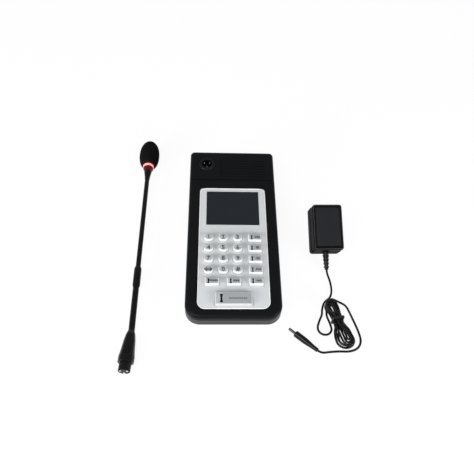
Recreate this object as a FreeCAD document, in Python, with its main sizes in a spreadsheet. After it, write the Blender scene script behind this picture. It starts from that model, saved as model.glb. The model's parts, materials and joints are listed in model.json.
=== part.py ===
import FreeCAD, Part
import math
import os

import Sketcher
from FreeCAD import Placement, Rotation, Vector

# A paging microphone set, laid out on a table: the desk console with its keypad, the gooseneck
# microphone that plugs into it, and the plug-in power adapter with its tied-up lead.
# X runs to the right, Y away from the user and Z up. All lengths are in millimetres.

doc = FreeCAD.newDocument("paging_microphone")
sheet = doc.addObject("Spreadsheet::Sheet", "sizes")

SIZES = {
    # where the three items stand: the set from the middle of its box, the console in the set
    "set_x": -4.18, "set_y": 2.21, "case_x": 1, "case_y": 1.5,
    # console case
    "case_length": 256.6, "case_width": 121.8, "front_height": 22.3, "slope": 7,
    "foot_height": 2, "seam_height": 13.7, "wall": 2.5, "top_wall": 3,
    "near_corner": 19, "far_corner": 6, "top_edge": 5.5, "base_edge": 1.2,
    "crease_at": 205.8, "crease_width": 1.8, "crease_depth": 0.9,
    "post_x": 52, "post_near_y": 97, "post_far_y": 110, "post_radius": 3.5,
    "boss_radius": 4.1, "screw_radius": 1.4, "screw_bite": 7,
    "screw_head": 2.7, "screw_head_depth": 1.8,
    "foot_x": 46, "foot_near_y": 86, "foot_far_y": 96, "foot_radius": 6, "foot_seat": 0.8,
    # clearances: inside a glued or pressed pair, between still neighbours, round a loose part
    "snug": 0.05, "skin": 0.1, "screw_room": 0.2, "fit": 0.3,
    # silver keypad panel
    "panel_width": 90.9, "panel_length": 179.2, "panel_thickness": 2, "panel_proud": 0.8,
    "panel_start": 11.05, "panel_near_corner": 10, "panel_far_corner": 4.5, "panel_edge": 0.7,
    "ledge": 4, "near_ledge": 2.2, "opening_corner": 2,
    # screen
    "screen_width": 72.2, "screen_length": 54.7, "screen_at": 157.75, "lens_thickness": 1.6,
    "lens_sunk": 0.3, "lcd_width": 77, "lcd_length": 56.4, "lcd_thickness": 3.6,
    # keys
    "first_row": 110, "row_pitch": 15.7, "digit_x": -32.2, "digit_pitch": 18.95,
    "function_x": 28.7, "function_pitch": 28.1, "talk_row": 24,
    "digit_width": 12.8, "digit_length": 10.4, "digit_corner": 4.8, "digit_dome": 2.2,
    "function_width": 18.5, "function_length": 10.8, "talk_width": 47, "talk_length": 18.6,
    "key_corner": 1.2, "key_height": 4, "key_draft": 20, "key_edge": 0.5,
    "key_flange": 1, "flange_thickness": 1, "flange_gap": 0.2, "key_travel": 1,
    "lamp_width": 1.7, "lamp_length": 5.4, "lamp_inset": 4.9, "lamp_depth": 1.5,
    # key board and key mat
    "mat_thickness": 1, "dome_height": 0.3, "dome_radius": 3, "board_thickness": 1.6,
    "mat_reach": 8, "mat_margin": 2, "pillar_radius": 1.6, "root": 0.5,
    # main board and rear sockets
    "main_board_width": 92, "main_board_length": 150, "main_board_y": 45, "main_board_z": 10.5,
    "stand_inset": 5, "stand_radius": 3, "capacitor_radius": 4, "capacitor_height": 10,
    "port_gap": 0.4, "port_z": 19.7, "port_depth": 14, "port_rim": 1.5, "jack_radius": 3,
    # microphone socket
    "socket_x": -36.7, "socket_at": 234, "socket_flange": 11.35, "socket_flange_height": 1.2,
    "socket_barrel": 9.6, "socket_depth": 15, "socket_floor": 2, "pin_circle": 4.5,
    "pin_radius": 1.2, "pin_length": 13.5,
    # speaker
    "speaker_x": 14.7, "speaker_at": 225.5, "speaker_radius": 20, "speaker_rim": 2.4,
    "magnet_radius": 11, "magnet_height": 7, "basket_depth": 9, "cone_radius": 17,
    "cone_neck": 6, "cone_depth": 5, "cone_wall": 0.8, "cone_travel": 0.4,
    "grille_width": 65, "grille_slot": 1.9, "grille_pitch": 4.6, "grille_slots": 7,
    # gooseneck, from the tip of its plug to the far end of its foam
    "neck_x": -122.9, "neck_y": -136, "neck_turn": 0.77, "plug_turn": -3.3,
    "plug_length": 53, "plug_radius": 9.5, "plug_throat": 1.8, "nose_radius": 7.1, "nose_length": 10.5,
    "nose_clearance": 0.2, "nose_edge": 0.4, "spigot_radius": 6.6, "spigot_length": 7.5,
    "contact_radius": 1.7, "contact_length": 13, "contact_inset": 0.7, "collar_band": 7,
    "groove_width": 0.9, "groove_depth": 0.4, "groove_start": 2, "groove_pitch": 3,
    "tab_start": 19.5, "tab_length": 8.6, "tab_width": 5.6,
    "tab_height": 2.4, "tab_proud": 0.9, "tab_travel": 0.9,
    "lower_radius": 3.9, "upper_radius": 3.3, "joint_gap": 0.2,
    "joint_one": 31, "sleeve_start": 59, "neck_step": 73, "sleeve_end": 87.5,
    "joint_two": 100, "joint_three": 152, "joint_four": 204, "collar_start": 243,
    "sleeve_radius": 4.8, "collar_length": 20, "collar_radius": 6.25, "cup_radius": 7.4,
    "cup_length": 3.2, "mic_tube_radius": 6, "mic_tube_end": 306, "capsule_length": 6.6,
    "ring_radius": 8, "ring_length": 3.3, "foam_end": 321, "foam_gap": 0.6, "foam_fit": 0.2,
    "foam_mouth": 9, "foam_shoulder": 13.2, "foam_shoulder_at": 6, "foam_radius": 15.2,
    "foam_full_at": 16, "foam_near_edge": 2, "foam_side_edge": 12, "foam_far_edge": 14,
    "table_gap": 0.05,
    # power adapter
    "adapter_x": 129.8, "adapter_y": -17, "adapter_tilt": 25, "adapter_turn": 1,
    "adapter_width": 41.5, "adapter_length": 64, "adapter_height": 33, "adapter_seam": 14.5,
    "adapter_step": 0.5, "adapter_wall": 2, "adapter_corner": 4, "adapter_edge": 2,
    "blade_radius": 2, "blade_length": 19, "blade_spacing": 19, "adapter_post_radius": 1.8,
    "adapter_post_x": 12, "adapter_post_near": 10, "adapter_post_far": 52,
    "adapter_board_w": 4.6, "adapter_board_length": 50, "adapter_board_middle": 31,
    "boot_x": -1.2, "boot_w": 15.5, "boot_radius": 4.5, "boot_end_radius": 3.2,
    "boot_length": 24, "boot_ribs": 5, "boot_rib_depth": 0.7, "boot_spigot": 2.4,
    # lead, its hank and its plug
    "cord_radius": 1.4, "hank_x": 132.2, "hank_y": -121.8, "hank_turn": 10.6,
    "hank_lift": 0.6, "hank_top": 27, "hank_bottom": 36.5, "hank_eye": 7,
    "hank_belly": 11.1, "hank_eye_at": 20, "hank_belly_at": 26, "hank_stub_x": 2.7,
    "hank_stub_y": 7.9, "wire_step": 3.6, "layer_step": 3.3,
    "tie_width": 3, "tie_thickness": 0.4, "tie_gap": 0.15,
    "plug_grip_x": 102.6, "plug_grip_y": -161.6, "plug_grip_turn": 48.5,
    "plug_grip_length": 34, "plug_grip_radius": 4.1, "plug_grip_rear": 2.5,
    "barrel_radius": 1.75, "barrel_length": 9.5, "barrel_bore": 0.7, "barrel_root": 1.2,
    "barrel_depth": 3, "tip_length": 1.6, "tip_gap": 0.03,
    "barrel_edge": 0.2, "grip_edge": 0.8, "grip_swell": 0.4, "grip_waist_at": 8.5,
    "grip_shoulder_at": 15.3, "grip_full_at": 20.4,
}

for row, (name, value) in enumerate(SIZES.items(), 1):
    sheet.set(f"A{row}", name)
    sheet.set(f"B{row}", str(value))
    sheet.setAlias(f"B{row}", name)
doc.recompute()


class Size:
    """A length or angle, with its value and the formula that the document keeps for it."""

    def __init__(self, text, value):
        self.text = text
        self.value = float(value)

    def __float__(self):
        return self.value

    def __add__(self, other):
        other = as_size(other)
        return Size(f"({self.text} + {other.text})", self.value + other.value)

    def __sub__(self, other):
        other = as_size(other)
        return Size(f"({self.text} - {other.text})", self.value - other.value)

    def __mul__(self, other):
        other = as_size(other)
        return Size(f"({self.text} * {other.text})", self.value * other.value)

    def __truediv__(self, other):
        other = as_size(other)
        return Size(f"({self.text} / {other.text})", self.value / other.value)

    def __radd__(self, other):
        return as_size(other) + self

    def __rsub__(self, other):
        return as_size(other) - self

    def __rmul__(self, other):
        return as_size(other) * self

    def __neg__(self):
        return as_size(0) - self


def as_size(number):
    """A plain number as a size, so that the two can be mixed."""
    return number if isinstance(number, Size) else Size(repr(float(number)), number)


class Named:
    """The sizes of the sheet, read by name: d.wall is the wall."""

    def __getattr__(self, name):
        return Size(f"sizes.{name}", sheet.get(name))


d = Named()


def tan(angle):
    return Size(f"tan({angle.text})", math.tan(math.radians(angle.value)))


def cos(angle):
    return Size(f"cos({angle.text})", math.cos(math.radians(angle.value)))


def sin(angle):
    return Size(f"sin({angle.text})", math.sin(math.radians(angle.value)))


def asin(share):
    return Size(f"asin({share.text})", math.degrees(math.asin(share.value)))


# Places and frames

def vector(x, y, z):
    return Vector(float(x), float(y), float(z))


def turned_by(axis, angle):
    """The rotation about an axis by a size in degrees."""
    return Rotation(axis, float(angle))


X_AXIS = Vector(1, 0, 0)
Y_AXIS = Vector(0, 1, 0)
Z_AXIS = Vector(0, 0, 1)
SET = Placement(vector(d.set_x, d.set_y, 0), Rotation())
# The sloping top of the console: x across, y up the slope from the near wall, z out of it.
CASE = Placement(vector(d.case_x, d.case_y, 0), Rotation())
SLOPE = CASE * Placement(
    vector(0, -d.case_length / 2, d.front_height), turned_by(X_AXIS, d.slope)
)
# The neck runs along its own Y from where it leaves the plug, and rises so that the thicker
# foam at its far end lies on the table too.
CUP_END = d.collar_start + d.collar_length + d.cup_length
FOAM_START = CUP_END + d.skin + d.ring_length + d.foam_gap
NECK_RISE = asin(
    (d.foam_radius + d.table_gap - d.plug_radius) / (FOAM_START + d.foam_full_at)
)
NECK = Placement(
    vector(d.neck_x, d.neck_y, d.plug_radius),
    turned_by(Z_AXIS, d.neck_turn) * turned_by(X_AXIS, NECK_RISE),
)
PLUG = Placement(NECK.Base, turned_by(Z_AXIS, d.plug_turn)) * Placement(
    vector(0, -d.plug_length, 0), Rotation()
)
# The adapter leans on the near edge of its back and the tips of its pins.
EDGE_DROP = d.adapter_edge * (sin(d.adapter_tilt) + cos(d.adapter_tilt) - 1) - d.table_gap / 2
ADAPTER = Placement(
    vector(d.adapter_x, d.adapter_y, -EDGE_DROP),
    turned_by(Z_AXIS, d.adapter_turn) * turned_by(X_AXIS, d.adapter_tilt),
)
HANK = Placement(
    vector(d.hank_x, d.hank_y, d.hank_lift + d.cord_radius),
    turned_by(Z_AXIS, d.hank_turn),
)
GRIP = Placement(
    vector(d.plug_grip_x, d.plug_grip_y, d.plug_grip_radius),
    turned_by(Z_AXIS, d.plug_grip_turn),
)
PARTS = []


def keep(thing, label, frame=Placement()):
    """Names a finished sub-part and puts it in its place in the set."""
    thing.Label = label
    thing.Placement = SET * frame
    PARTS.append(thing)
    return thing


# Ways of making a piece

def bind(thing, formulas):
    """Ties properties of a feature to the sheet."""
    for name, size in formulas.items():
        thing.setExpression(name, as_size(size).text)


def block(name, size, at=(0, 0, 0)):
    """A box of size (x, y, z), centred on X and Y at its place and standing on its Z."""
    box = doc.addObject("Part::Box", name)
    bind(box, {"Length": size[0], "Width": size[1], "Height": size[2]})
    bind(box, {
        "Placement.Base.x": at[0] - as_size(size[0]) / 2,
        "Placement.Base.y": at[1] - as_size(size[1]) / 2,
        "Placement.Base.z": at[2],
    })
    return box


TURNS = {"X": Rotation(Y_AXIS, 90), "Y": Rotation(X_AXIS, -90), "Z": Rotation()}


def place(thing, at, axis="Z"):
    """Turns a primitive so that its own Z follows an axis, and ties its place to the sheet."""
    thing.Placement = Placement(Vector(), TURNS[axis])
    bind(thing, {f"Placement.Base.{letter}": value for letter, value in zip("xyz", at)})
    return thing


def rod(name, radius, length, at=(0, 0, 0), axis="Z"):
    cylinder = doc.addObject("Part::Cylinder", name)
    bind(cylinder, {"Radius": radius, "Height": length})
    return place(cylinder, at, axis)


def ball(name, radius, at):
    sphere = doc.addObject("Part::Sphere", name)
    bind(sphere, {"Radius": radius})
    return place(sphere, at)


def half_ball(name, radius, at, axis="Z", upper=True):
    """Half a ball, flat at its place and round towards its axis or away from it."""
    half = ball(name, radius, at)
    place(half, at, axis)
    if upper:
        half.Angle1 = 0
    else:
        half.Angle2 = 0
    return half


def taper(name, first, last, length, at=(0, 0, 0), axis="Z"):
    cone = doc.addObject("Part::Cone", name)
    bind(cone, {"Radius1": first, "Radius2": last, "Height": length})
    return place(cone, at, axis)


def fuse(name, shapes):
    union = doc.addObject("Part::MultiFuse", name)
    union.Shapes = shapes
    return union


def cut(name, base, tools):
    """The base with the tools taken out of it."""
    for number, tool in enumerate(tools):
        step = doc.addObject("Part::Cut", f"{name}_{number}")
        step.Base = base
        step.Tool = tool
        base = step
    return base


def group(name, solids):
    """Several separate solids that share one file."""
    compound = doc.addObject("Part::Compound", name)
    compound.Links = solids
    return compound


def own_plane(body, role):
    return next(plane for plane in body.Origin.OriginFeatures if plane.Role == role)


def outline(body, role, points, offset=0):
    """A sketch of straight lines through points given as sizes, on one of the body's planes."""
    sketch = body.newObject("Sketcher::SketchObject", body.Name + "_outline")
    sketch.AttachmentSupport = [(own_plane(body, role), "")]
    sketch.MapMode = "FlatFace"
    bind(sketch, {"AttachmentOffset.Base.z": offset})
    points = [(as_size(x), as_size(y)) for x, y in points]
    for start, end in zip(points, points[1:] + points[:1]):
        sketch.addGeometry(Part.LineSegment(vector(*start, 0), vector(*end, 0)))
    for number in range(len(points)):
        following = (number + 1) % len(points)
        sketch.addConstraint(Sketcher.Constraint("Coincident", number, 2, following, 1))
    for number, point in enumerate(points):
        for kind, axis, value in zip(("DistanceX", "DistanceY"), (-2, -1), point):
            if value.value == 0:
                sketch.addConstraint(Sketcher.Constraint("PointOnObject", number, 1, axis))
                continue
            rule = Sketcher.Constraint(kind, -1, 1, number, 1, value.value)
            index = sketch.addConstraint(rule)
            sketch.setExpression(f"Constraints[{index}]", value.text)
    return sketch


def turned(name, points):
    """A piece turned about Y: its outline has (radius, distance along Y) points."""
    body = doc.addObject("PartDesign::Body", name)
    sketch = outline(body, "XY_Plane", points)
    spin = body.newObject("PartDesign::Revolution", name + "_turned")
    spin.Profile = sketch
    spin.ReferenceAxis = (sketch, ["V_Axis"])
    spin.Angle = 360
    doc.recompute()
    return body


def rectangle(width, length, x=0, y=0):
    half_width = as_size(width) / 2
    half_length = as_size(length) / 2
    return [
        (x - half_width, y - half_length), (x + half_width, y - half_length),
        (x + half_width, y + half_length), (x - half_width, y + half_length),
    ]


def pad(body, sketch, length, draft=None, both_ways=False):
    """A pad of the sketch, which draws in by the draft angle as it rises."""
    feature = body.newObject("PartDesign::Pad", body.Name + "_pad")
    feature.Profile = sketch
    bind(feature, {"Length": length})
    if draft is not None:
        bind(feature, {"TaperAngle": -draft})
    feature.Midplane = both_ways
    doc.recompute()
    return feature


def round_edges(body, radius, wanted):
    """Rounds the edges of the body that the test picks out."""
    base = body.Tip
    names = [f"Edge{i}" for i, edge in enumerate(base.Shape.Edges, 1) if wanted(edge)]
    feature = body.newObject("PartDesign::Fillet", body.Name + "_round")
    feature.Base = (base, names)
    bind(feature, {"Radius": radius})
    doc.recompute()
    return feature


CLOSE = 0.001


def upright(near=None, far=None):
    """A test for straight edges along Z, on one side of a Y or on the other."""
    def wanted(edge):
        box = edge.BoundBox
        across = box.XLength < CLOSE and box.YLength < CLOSE
        return across and (near is None or box.YMin < near) and (far is None or box.YMin > far)
    return wanted


def slab(name, width, length, height, z, near_corner, far_corner, y=0):
    """A flat block with rounded corners, whose near and far corners can differ."""
    body = doc.addObject("PartDesign::Body", name)
    pad(body, outline(body, "XY_Plane", rectangle(width, length, 0, y), z), height)
    round_edges(body, near_corner, upright(near=float(y)))
    round_edges(body, far_corner, upright(far=float(y)))
    return body


# Console case

def case_block(name, inset, low, roof_drop):
    """The wedge of the console's case, smaller by the inset, from a height to under its roof."""
    half = d.case_length / 2 - inset
    front = d.front_height + inset * tan(d.slope) - roof_drop
    rear = d.front_height + (d.case_length - inset) * tan(d.slope) - roof_drop
    body = doc.addObject("PartDesign::Body", name)
    side = outline(body, "YZ_Plane", [(-half, low), (half, low), (half, rear), (-half, front)])
    pad(body, side, d.case_width - 2 * as_size(inset), both_ways=True)
    round_edges(body, d.near_corner - inset, upright(near=0))
    round_edges(body, d.far_corner - inset, upright(far=0))
    return body


def on_roof(edge):
    """Whether an edge lies in the sloping top of the case."""
    for vertex in edge.Vertexes:
        height = float(d.front_height) + (vertex.Y + float(d.case_length) / 2) * float(tan(d.slope))
        if abs(vertex.Z - height) > CLOSE:
            return False
    return True


POST_PLACES = [
    (side * d.post_x, y) for side in (-1, 1) for y in (-d.post_near_y, d.post_far_y)
]
ROOF_DROP = d.top_wall / cos(d.slope)


def on_slope(thing):
    """A tool drawn flat, set on the console's sloping top."""
    holder = group(thing.Name + "_on_slope", [thing])
    holder.Placement = CASE.inverse() * SLOPE
    return holder


def panel_plate(name, gap, thickness, z):
    """The outline of the keypad panel, wider by the gap all round."""
    return slab(
        name, d.panel_width + 2 * as_size(gap), d.panel_length + 2 * as_size(gap), thickness, z,
        d.panel_near_corner + gap, d.panel_far_corner + gap, d.panel_start + d.panel_length / 2,
    )


def make_top_cover():
    outer = case_block("cover_outside", as_size(0), d.seam_height, 0)
    round_edges(outer, d.top_edge, on_roof)
    inner = case_block("cover_inside", d.wall, d.seam_height - 1, ROOF_DROP)
    hollow = cut("cover_shell", outer, [inner])
    posts = []
    for number, (x, y) in enumerate(POST_PLACES):
        roof = d.front_height + (y + d.case_length / 2) * tan(d.slope) - ROOF_DROP
        post = rod(f"post_{number}", d.post_radius, roof + 1 - d.seam_height, (x, y, d.seam_height))
        pilot = rod(
            f"pilot_{number}", d.screw_radius + d.snug, d.screw_bite, (x, y, d.seam_height - 1),
        )
        posts.append(cut(f"drilled_post_{number}", post, [pilot]))
    middle = d.panel_start + d.panel_length / 2
    tools = [
        panel_plate("panel_recess", d.fit / 2, d.top_edge, d.panel_proud - d.panel_thickness),
        slab(
            "panel_opening", d.panel_width - 2 * d.ledge,
            d.panel_length - d.ledge - d.near_ledge, 4 * d.top_wall, -2 * d.top_wall,
            d.panel_near_corner - d.near_ledge, d.opening_corner,
            middle + (d.near_ledge - d.ledge) / 2,
        ),
        rod(
            "socket_hole", d.socket_barrel + d.skin, 4 * d.top_wall,
            (d.socket_x, d.socket_at, -2 * d.top_wall),
        ),
        block(
            "crease", (d.case_width + 2, d.crease_width, d.crease_depth * 2),
            (0, d.crease_at, -d.crease_depth),
        ),
    ]
    first = d.speaker_at - d.grille_pitch * (d.grille_slots - 1) / 2
    for number in range(int(float(d.grille_slots))):
        tools.append(block(
            f"grille_{number}", (d.grille_width, d.grille_slot, 4 * d.top_wall),
            (d.speaker_x, first + number * d.grille_pitch, -2 * d.top_wall),
        ))
    tools = [on_slope(tool) for tool in tools]
    for name, x, width, height in PORTS:
        tools.append(block(
            f"{name}_window", (width - d.port_rim, 4 * d.wall, height - 2 * d.port_rim),
            (x, d.case_length / 2, d.port_z - height / 2 + d.port_rim),
        ))
    cover = fuse("cover_with_posts", [hollow] + posts)
    keep(cut("cover_cut", cover, tools), "top_cover", CASE)


# Rear sockets: name, x, width and height
PORTS = [
    ("network_port", as_size(-28), as_size(16), as_size(14)),
    ("line_port", as_size(4), as_size(12), as_size(12)),
    ("power_port", as_size(32), as_size(11), as_size(12)),
]


def make_base_shell():
    height = d.seam_height - d.foot_height
    outer = slab(
        "base_outside", d.case_width, d.case_length, height, d.foot_height,
        d.near_corner, d.far_corner,
    )
    round_edges(outer, d.base_edge, lambda edge: edge.BoundBox.ZMax < float(d.foot_height) + CLOSE)
    inner = slab(
        "base_inside", d.case_width - 2 * d.wall, d.case_length - 2 * d.wall, height,
        d.foot_height + d.wall, d.near_corner - d.wall, d.far_corner - d.wall,
    )
    shell = cut("base_hollow", outer, [inner])
    pieces = [shell]
    tools = []
    for number, (x, y) in enumerate(POST_PLACES):
        pieces.append(rod(
            f"boss_{number}", d.boss_radius, height - 1 - d.skin, (x, y, d.foot_height + 1),
        ))
        tools.append(rod(
            f"boss_hole_{number}", d.screw_radius + d.screw_room, height + 2,
            (x, y, d.foot_height - 1),
        ))
        tools.append(rod(
            f"head_seat_{number}", d.screw_head + d.screw_room, d.screw_head_depth + d.fit,
            (x, y, d.foot_height - d.skin),
        ))
    for number, (x, y) in enumerate(BOARD_PLACES):
        pieces.append(rod(
            f"stand_{number}", d.stand_radius, d.main_board_z - d.foot_height - 1,
            (x, y, d.foot_height + 1),
        ))
    for number, (x, y) in enumerate(FOOT_PLACES):
        tools.append(rod(
            f"foot_seat_{number}", d.foot_radius + d.skin, d.foot_seat, (x, y, d.foot_height),
        ))
    keep(cut("base_cut", fuse("base_with_posts", pieces), tools), "base_shell", CASE)


BOARD_PLACES = [
    (
        side * (d.main_board_width / 2 - d.stand_inset),
        d.main_board_y + end * (d.main_board_length / 2 - d.stand_inset),
    )
    for side in (-1, 1) for end in (-1, 1)
]
FOOT_PLACES = [
    (side * d.foot_x, y) for side in (-1, 1) for y in (-d.foot_near_y, d.foot_far_y)
]


def make_feet_and_screws():
    feet = [
        rod(f"foot_{number}", d.foot_radius, d.foot_height + d.foot_seat, (x, y, 0))
        for number, (x, y) in enumerate(FOOT_PLACES)
    ]
    keep(group("foot_set", feet), "feet", CASE)
    screws = []
    for number, (x, y) in enumerate(POST_PLACES):
        low = d.foot_height + d.skin
        head = rod(f"head_{number}", d.screw_head, d.screw_head_depth, (x, y, low))
        shank = rod(
            f"shank_{number}", d.screw_radius, d.seam_height + d.screw_bite - 2 - d.foot_height,
            (x, y, low),
        )
        screws.append(fuse(f"screw_{number}", [head, shank]))
    keep(group("screw_set", screws), "case_screws", CASE)


def make_panel():
    plate = panel_plate("panel_plate", as_size(0), d.panel_thickness, d.panel_proud - d.panel_thickness)
    top = float(d.panel_proud)
    round_edges(plate, d.panel_edge, lambda edge: edge.BoundBox.ZMin > top - CLOSE)
    tools = [block(
        "screen_window", (d.screen_width, d.screen_length, 2 * d.top_wall),
        (0, d.screen_at, -d.top_wall),
    )]
    for name, x, y, width, length, corner, _ in KEYS:
        tools.append(slab(
            name + "_hole", width + 2 * d.fit, length + 2 * d.fit, 2 * d.top_wall, -d.top_wall,
            corner + d.fit, corner + d.fit, y,
        ))
        tools[-1].Placement.Base.x = float(x)
    keep(cut("panel_cut", plate, tools), "keypad_panel", SLOPE)


def make_screen():
    lens = block(
        "lens", (d.screen_width - 2 * d.skin, d.screen_length - 2 * d.skin, d.lens_thickness),
        (0, d.screen_at, d.panel_proud - d.lens_sunk - d.lens_thickness),
    )
    keep(group("lens_set", [lens]), "screen_lens", SLOPE)
    under = d.panel_proud - d.panel_thickness - d.skin
    module = block(
        "module", (d.lcd_width, d.lcd_length, d.lcd_thickness),
        (0, d.screen_at, under - d.lcd_thickness),
    )
    keep(group("module_set", [module]), "lcd_module", SLOPE)


# Keys: name, x, distance up the slope, width, length, corner radius and kind
def key_list():
    keys = []
    digits = ("1", "2", "3", "4", "5", "6", "7", "8", "9", "left", "0", "right")
    for number, digit in enumerate(digits):
        x = d.digit_x + (number % 3) * d.digit_pitch
        y = d.first_row - (number // 3) * d.row_pitch
        keys.append((f"digit_key_{digit}", x, y, d.digit_width, d.digit_length, d.digit_corner, "oval"))
    for number in range(4):
        y = d.first_row - number * d.row_pitch
        keys.append((
            f"side_key_{number + 1}", d.function_x, y, d.function_width, d.function_length,
            d.key_corner, "bar",
        ))
    for number in range(3):
        x = d.function_x - (2 - number) * d.function_pitch
        y = d.first_row - 4 * d.row_pitch
        keys.append((
            f"lower_key_{number + 1}", x, y, d.function_width, d.function_length,
            d.key_corner, "bar",
        ))
    keys.append((
        "talk_key", as_size(0), d.talk_row, d.talk_width, d.talk_length, d.key_corner, "bar",
    ))
    return keys


KEYS = key_list()
PANEL_BACK = d.panel_proud - d.panel_thickness
KEY_FOOT = PANEL_BACK - d.flange_gap - d.flange_thickness


def make_key(name, x, y, width, length, corner, kind):
    """A key cap with its flange behind the panel and, on a bar key, its light pipe."""
    cap = doc.addObject("PartDesign::Body", name + "_cap")
    pad(cap, outline(cap, "XY_Plane", rectangle(width, length), d.panel_proud),
        d.key_height, None if kind == "oval" else d.key_draft)
    sides = lambda edge: edge.BoundBox.ZLength > float(d.key_height) / 2
    round_edges(cap, corner, sides)
    top = float(d.panel_proud + d.key_height)
    edge_radius = d.digit_dome if kind == "oval" else d.key_edge
    round_edges(cap, edge_radius, lambda edge: edge.BoundBox.ZMin > top - CLOSE)
    stem = slab(
        name + "_stem", width, length, d.panel_proud - KEY_FOOT, KEY_FOOT, corner, corner,
    )
    flange = slab(
        name + "_flange", width + 2 * d.key_flange, length + 2 * d.key_flange,
        d.flange_thickness, KEY_FOOT, corner, corner,
    )
    key = fuse(name + "_key", [cap, stem, flange])
    frame = SLOPE * Placement(vector(x, y, 0), Rotation())
    if kind == "oval":
        keep(key, name, frame)
        return
    share = d.lamp_length / d.function_length * length
    lamp_x = d.lamp_inset - width / 2
    if name == "talk_key":
        lamp_x = lamp_x + d.lamp_inset - d.lamp_width
    floor = d.panel_proud + d.key_height - d.lamp_depth
    pocket = block(
        name + "_pocket", (d.lamp_width, share, d.lamp_depth + 1), (lamp_x, 0, floor),
    )
    lamp = block(
        name + "_lamp", (d.lamp_width - d.skin, share - d.skin, d.lamp_depth),
        (lamp_x, 0, floor + d.snug),
    )
    keep(group(name + "_with_lamp", [cut(name + "_body", key, [pocket]), lamp]), name, frame)


MAT_TOP = KEY_FOOT - d.key_travel - d.flange_gap - d.dome_height
BOARD_TOP = MAT_TOP - d.mat_thickness - d.snug


def make_key_boards():
    """The silicone mat with a dome under each key, and the circuit board that carries it."""
    far = d.first_row + d.mat_reach
    near = d.panel_start + d.ledge + d.mat_margin
    width = d.panel_width - 2 * d.ledge - d.mat_margin
    sheet_body = block(
        "mat_sheet", (width, far - near, d.mat_thickness),
        (0, (far + near) / 2, MAT_TOP - d.mat_thickness),
    )
    domes = [
        rod(name + "_dome", d.dome_radius, d.dome_height + d.root, (x, y, MAT_TOP - d.root))
        for name, x, y, _, _, _, _ in KEYS
    ]
    keep(fuse("mat", [sheet_body] + domes), "key_mat", SLOPE)
    middle = d.panel_start + d.panel_length / 2
    board = block(
        "board", (d.panel_width, d.panel_length, d.board_thickness),
        (0, middle, BOARD_TOP - d.board_thickness),
    )
    corners = [
        (side * (d.panel_width / 2 - d.ledge / 2), middle + end * (d.panel_length / 2 - d.near_corner))
        for side in (-1, 1) for end in (-1, 1)
    ]
    pillars = [
        rod(
            f"pillar_{number}", d.pillar_radius, d.root - BOARD_TOP - d.top_wall - d.skin,
            (x, y, BOARD_TOP - d.root),
        )
        for number, (x, y) in enumerate(corners)
    ]
    lcd_floor = PANEL_BACK - d.skin - d.lcd_thickness
    lift = block(
        "lcd_carrier",
        (d.lcd_width * 0.9, d.lcd_length * 0.9, lcd_floor - BOARD_TOP + d.root),
        (0, d.screen_at, BOARD_TOP - d.root),
    )
    keep(fuse("key_circuit", [board, lift] + pillars), "key_board", SLOPE)


# Chips on the main board: x, y, width, length and height. Capacitors: x and y.
CHIPS = [
    (-18, 30, 18, 18, 1.6), (14, 24, 12, 16, 1.8), (-20, 62, 10, 8, 1.4), (26, 60, 15, 15, 7),
]
CAPACITORS = [(38, 88), (38, 74), (-38, 80), (-38, 66)]


def make_main_board():
    """The main circuit board, with its larger parts as solids of their own on it."""
    z = d.main_board_z + d.skin
    top = z + d.board_thickness
    board = block(
        "main_plate", (d.main_board_width, d.main_board_length, d.board_thickness),
        (0, d.main_board_y, z),
    )
    parts = [board]
    for number, (x, y, width, length, height) in enumerate(CHIPS):
        parts.append(block(f"chip_{number}", (width, length, height), (x, y, top + d.snug)))
    for number, (x, y) in enumerate(CAPACITORS):
        parts.append(rod(
            f"capacitor_{number}", d.capacitor_radius, d.capacitor_height, (x, y, top + d.snug),
        ))
    keep(group("main_circuit", parts), "main_board", CASE)


def make_rear_ports():
    """A network socket, a sound jack and a power jack at the far edge of the main board."""
    top = d.main_board_z + d.skin + d.board_thickness + d.snug
    back = d.case_length / 2 - d.wall - d.port_gap
    depth = d.port_depth
    ports = []
    for name, x, width, height in PORTS:
        rise = d.port_z + height / 2 - top
        shell = block(name + "_shell", (width, depth, rise), (x, back - depth / 2, top))
        if name == "network_port":
            room = height - 4 * d.port_rim
            bore = block(
                name + "_bore", (width - 3 * d.port_rim, depth, room),
                (x, back - depth / 2 + d.port_rim, d.port_z - room / 2),
            )
        else:
            bore = rod(
                name + "_bore", d.jack_radius, depth, (x, back - depth + d.port_rim, d.port_z), "Y",
            )
        ports.append(cut(name + "_hollow", shell, [bore]))
    keep(group("port_set", ports), "rear_ports", CASE)


# Microphone socket and speaker, drawn flat and set on the slope

def make_socket():
    depth = d.socket_depth + d.socket_floor
    flange = taper(
        "socket_rim", d.socket_flange, d.socket_flange - 1, d.socket_flange_height, (0, 0, 0.02),
    )
    barrel = rod("barrel", d.socket_barrel, depth + 0.5, (0, 0, -depth))
    bore = rod(
        "socket_bore", d.nose_radius + d.nose_clearance, d.socket_depth + 5, (0, 0, -d.socket_depth),
    )
    holes = [
        rod(f"pin_hole_{number}", d.pin_radius + d.snug, d.socket_floor + 2, (x, y, -depth - 1))
        for number, (x, y) in enumerate(three_around(d.pin_circle))
    ]
    frame = SLOPE * Placement(vector(d.socket_x, d.socket_at, 0), Rotation())
    keep(cut("socket", fuse("socket_body", [flange, barrel]), [bore] + holes), "mic_socket", frame)
    pins = []
    for number, (x, y) in enumerate(three_around(d.pin_circle)):
        shank = rod(
            f"pin_{number}", d.pin_radius, d.pin_length + d.socket_floor + 2, (x, y, -depth - 2),
        )
        tip = half_ball(
            f"pin_tip_{number}", d.pin_radius, (x, y, d.pin_length - d.socket_depth),
        )
        pins.append(fuse(f"pin_round_{number}", [shank, tip]))
    keep(group("pin_set", pins), "socket_pins", frame)


def three_around(radius):
    """Two places at the far side of a circle and one at its near side."""
    return [
        (radius * cos(as_size(angle)), radius * sin(as_size(angle))) for angle in (30, 150, 270)
    ]


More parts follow.
